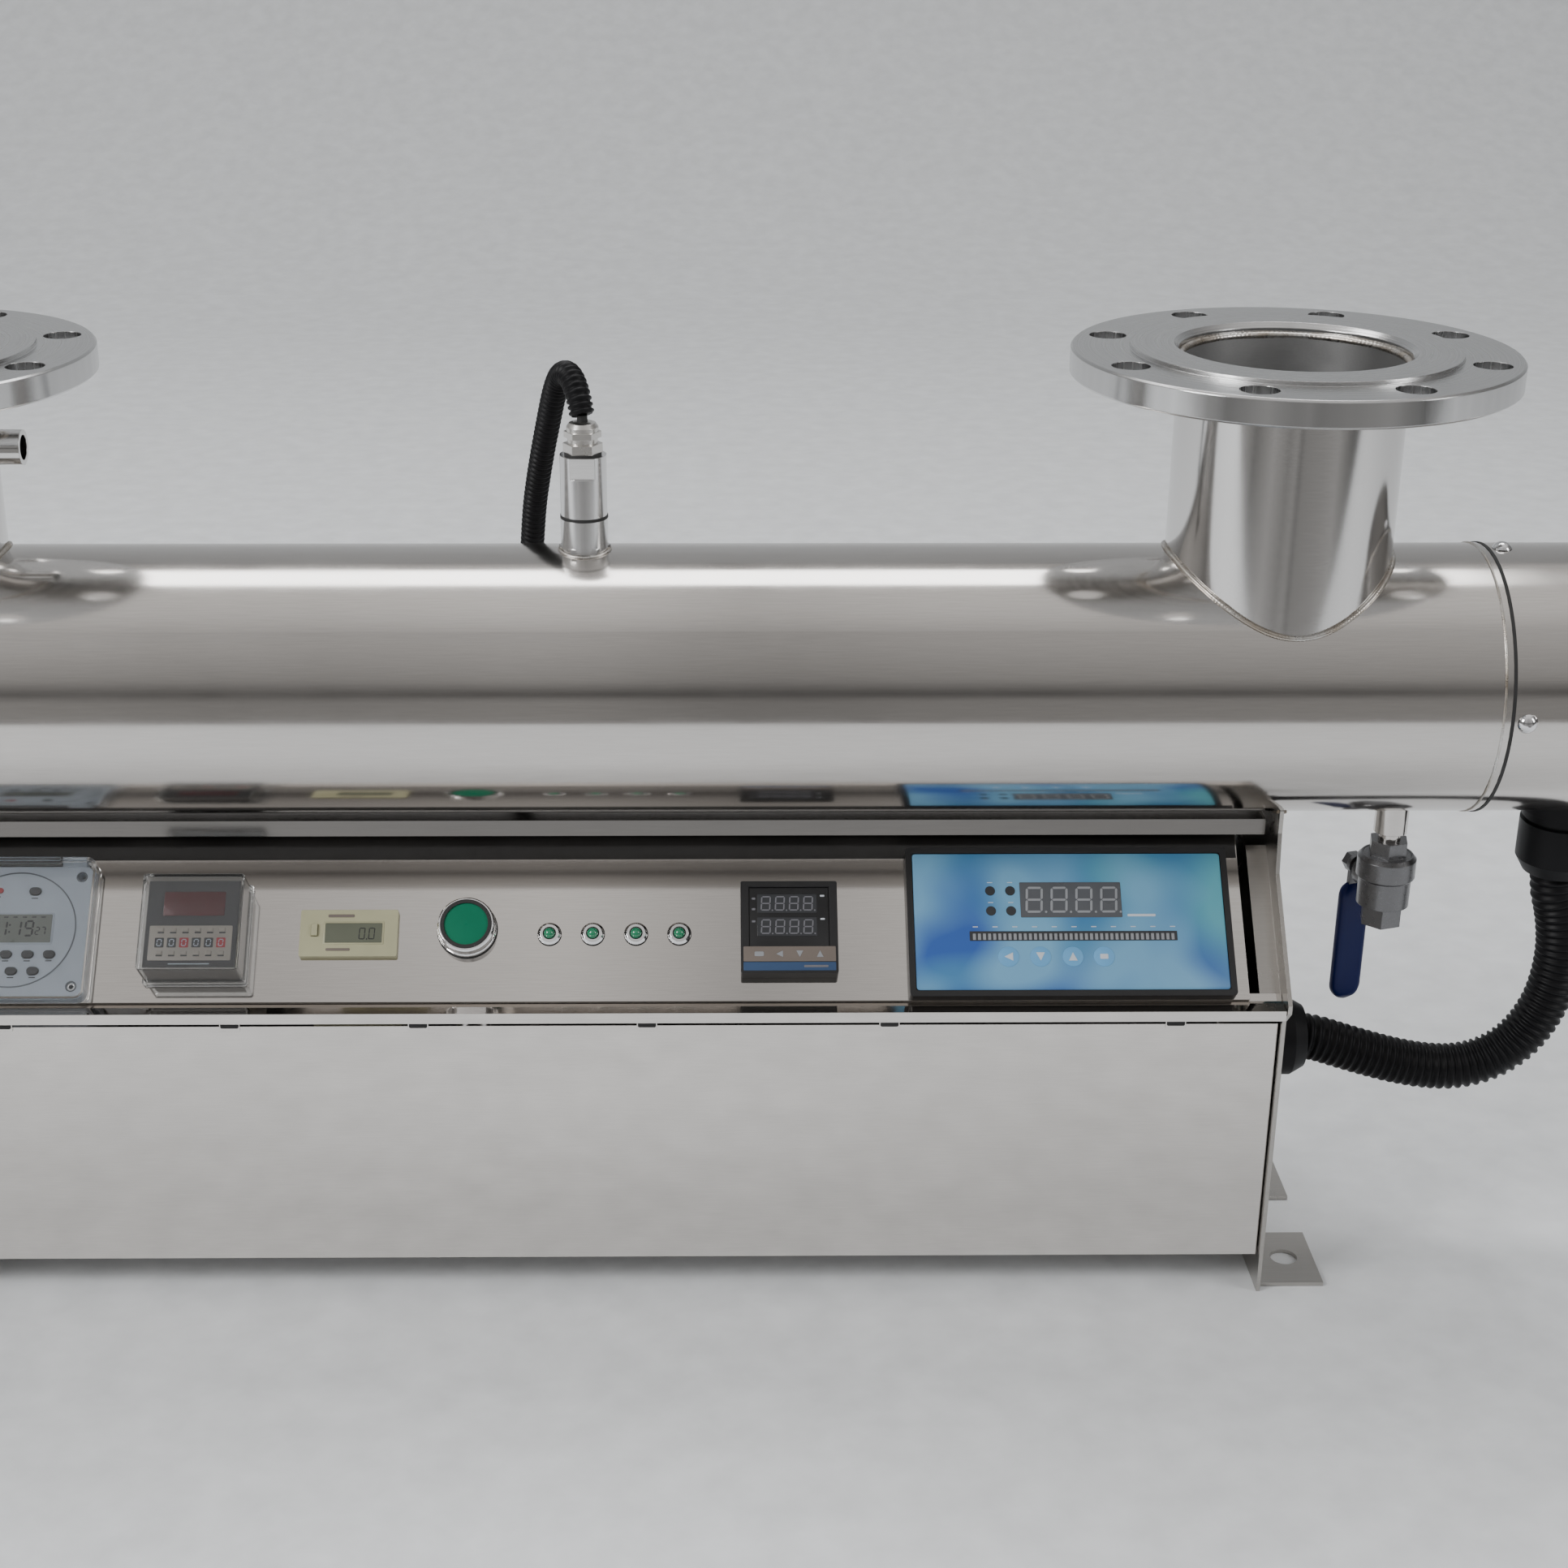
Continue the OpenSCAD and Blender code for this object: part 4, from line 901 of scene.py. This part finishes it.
def lamp_shade_rings():
    """Thin dark rings round the indicator lamps, and under and inside the start button's bezel: painted
    shade standing for the shadow gaps there.
    """
    maker = Maker(panel_place(0, 0))
    for place in INDICATORS_AT:
        maker.ring(*place, 5.6, 6.05, 0.02, 0.5, BLACK_RUBBER)
        maker.ring(*place, 2.87, 3.35, 1.9, 2.3, BLACK_RUBBER)
    maker.ring(*START_BUTTON_AT, 14.3, 15.1, 0.02, 0.6, BLACK_RUBBER, 64)
    maker.ring(*START_BUTTON_AT, 10.9, 12.8, 9.15, 9.6, BLACK_RUBBER, 64)
    maker.make("lamp_shade_rings", "root")


# ---------------------------------------------------------------- sensor flats and cover hooks

SENSOR_FLAT = 9.46 * MM                       # from the sensor's axis to the flats of the CAD model
SATIN_SKIN = (9.47, 9.6)                      # millimetres from the axis to the satin face's back and front
FLAT_FOOT = 416 * MM
HOOK_XS = (-290, -178, -85, 28, 148, 290)     # millimetres
BOX_FACES = [(0, 1, 2, 3), (4, 7, 6, 5), (0, 4, 5, 1), (1, 5, 6, 2), (2, 6, 7, 3), (3, 7, 4, 0)]


def sensor_flat():
    """Satin milled faces on the front and back of the sensor's body. Their satin finish is real; their
    tint, paler than the body's steel, is painted light that makes them read bright.
    """
    maker = Maker()
    low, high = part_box("sensor_body")
    middle = (low[0] + high[0]) / 2
    half = math.sqrt(((high[0] - low[0]) / 2) ** 2 - SENSOR_FLAT ** 2) - 0.1 * MM
    x0, x1 = middle - half, middle + half
    z0, z1 = FLAT_FOOT, high[2] - 0.3 * MM
    for side in (-1, 1):
        depths = sorted(side * depth * MM for depth in SATIN_SKIN)
        verts = [(x, y, z) for y in depths for x, z in ((x0, z0), (x1, z0), (x1, z1), (x0, z1))]
        maker.put(verts, BOX_FACES, SATIN_BRIGHTENED_STEEL)
    maker.make("sensor_flats", "root")


def hook_seam_shades():
    """Dark blocks at the front cover's hooks, in the seam below the ledge: painted shade standing for the
    shadow slits there.
    """
    maker = Maker()
    for x in HOOK_XS:
        turn = Matrix.Translation((x * MM, -66.4 * MM, 154.6 * MM)) @ Matrix.Rotation(math.pi / 2, 4, "X")
        maker.place = turn @ Matrix.Scale(MM, 4)
        maker.prism(rounded(0, 0, 9, 3, 0.8), 0, 0.5, BLACK_RUBBER, 0.1)
    maker.make("hook_seam_shade_blocks", "root")


sensor_flat()
hook_seam_shades()
hood_shade_strip()
lamp_shade_rings()
timer_face()
relay_face()
hour_face()
controller_face()
monitor_face()


# ---------------------------------------------------------------- floor, light and world

def make_stage():
    """Pale floor that ends in front of the machine and curves up into a backdrop far behind."""
    half, front, back, height, bend = 6.0, -0.95, 4.0, 5.0, 1.6
    steps = 12
    drop = 0.0002   # keeps the sheet just clear of the foot tabs
    profile = [(front, 0.0), (back - bend, 0.0)]
    profile += [(back - bend + bend * math.sin(a), bend - bend * math.cos(a))
                for a in (math.pi / 2 * k / steps for k in range(1, steps + 1))]
    profile.append((back, height))
    verts = [(x, y, z - drop) for y, z in profile for x in (-half, half)]
    faces = [(2 * i, 2 * i + 1, 2 * i + 3, 2 * i + 2) for i in range(len(profile) - 1)]
    mesh = bpy.data.meshes.new("floor")
    mesh.from_pydata(verts, [], faces)
    mesh.polygons.foreach_set("use_smooth", [True] * len(faces))
    mesh.materials.append(plastic("floor_paint", (0.74, 0.76, 0.78), 0.6, 0.05, 30))
    floor = bpy.data.objects.new("floor", mesh)
    bpy.context.scene.collection.objects.link(floor)


LIGHTS = {   # place, target, size of the rectangle, and watts
    "key": ((-2.3, -1.5, 2.0), (0, 0, 0.2), (1.0, 1.4), 60),
    "fill": ((2.4, -1.0, 1.5), (0.1, 0, 0.25), (0.6, 1.4), 16),
    "top": ((0, 0.9, 2.6), (0, 0.1, 0.3), (2.4, 0.8), 34),
}
WORLD_HEIGHTS = (   # height on the unit sphere, and grey level
    (0.0, 0.27), (0.1, 0.1), (0.3, 0.32), (0.6, 0.42), (0.82, 0.5), (1.0, 0.85),
)
WORLD_BANDS = (     # place from left to right, from 0 to 1, and factor
    (0.0, 0.9), (0.06, 1.5), (0.16, 0.7), (0.29, 1.4), (0.41, 0.9), (0.47, 1.15),
    (0.51, 0.7), (0.54, 0.95), (0.7, 1.1), (0.8, 1.3), (0.9, 0.45), (1.0, 0.8),
)


def area_light(name, place, target, size, power):
    """Rectangular light that faces its target."""
    data = bpy.data.lights.new(name, "AREA")
    data.shape = "RECTANGLE"
    data.size, data.size_y = size
    data.energy = power
    light = bpy.data.objects.new(name, data)
    light.location = place
    aim = Vector(target) - Vector(place)
    light.rotation_euler = aim.to_track_quat("-Z", "Y").to_euler()
    bpy.context.scene.collection.objects.link(light)


def grey_ramp(tree, value, stops):
    """Ramp of slightly warm greys, from pairs of place and level."""
    node = tree.nodes.new("ShaderNodeValToRGB")
    node.color_ramp.elements.remove(node.color_ramp.elements[1])
    for i, (place, level) in enumerate(stops):
        stop = node.color_ramp.elements[0] if i == 0 else node.color_ramp.elements.new(place)
        stop.position = place
        stop.color = (level, level * 0.99, level * 0.98, 1)
    tree.links.new(value, node.inputs["Fac"])
    return node.outputs["Color"]


def make_world():
    """Soft room: bright above and dim near the horizon, times soft upright bands across X."""
    world = bpy.data.worlds.new("room")
    world.use_nodes = True
    bpy.context.scene.world = world
    tree = world.node_tree
    coords = tree.nodes.new("ShaderNodeTexCoord")
    split = tree.nodes.new("ShaderNodeSeparateXYZ")
    tree.links.new(coords.outputs["Generated"], split.inputs[0])
    centred = tree.nodes.new("ShaderNodeMath")
    centred.operation = "MULTIPLY_ADD"
    centred.inputs[1].default_value = centred.inputs[2].default_value = 0.5
    tree.links.new(split.outputs["X"], centred.inputs[0])
    height = grey_ramp(tree, split.outputs["Z"], WORLD_HEIGHTS)
    bands = grey_ramp(tree, centred.outputs[0], WORLD_BANDS)
    shade = tree.nodes.new("ShaderNodeVectorMath")
    shade.operation = "MULTIPLY"
    tree.links.new(height, shade.inputs[0])
    tree.links.new(bands, shade.inputs[1])
    tree.links.new(shade.outputs[0], tree.nodes["Background"].inputs["Color"])


make_stage()
make_world()
for light_name, light_facts in LIGHTS.items():
    area_light(light_name, *light_facts)
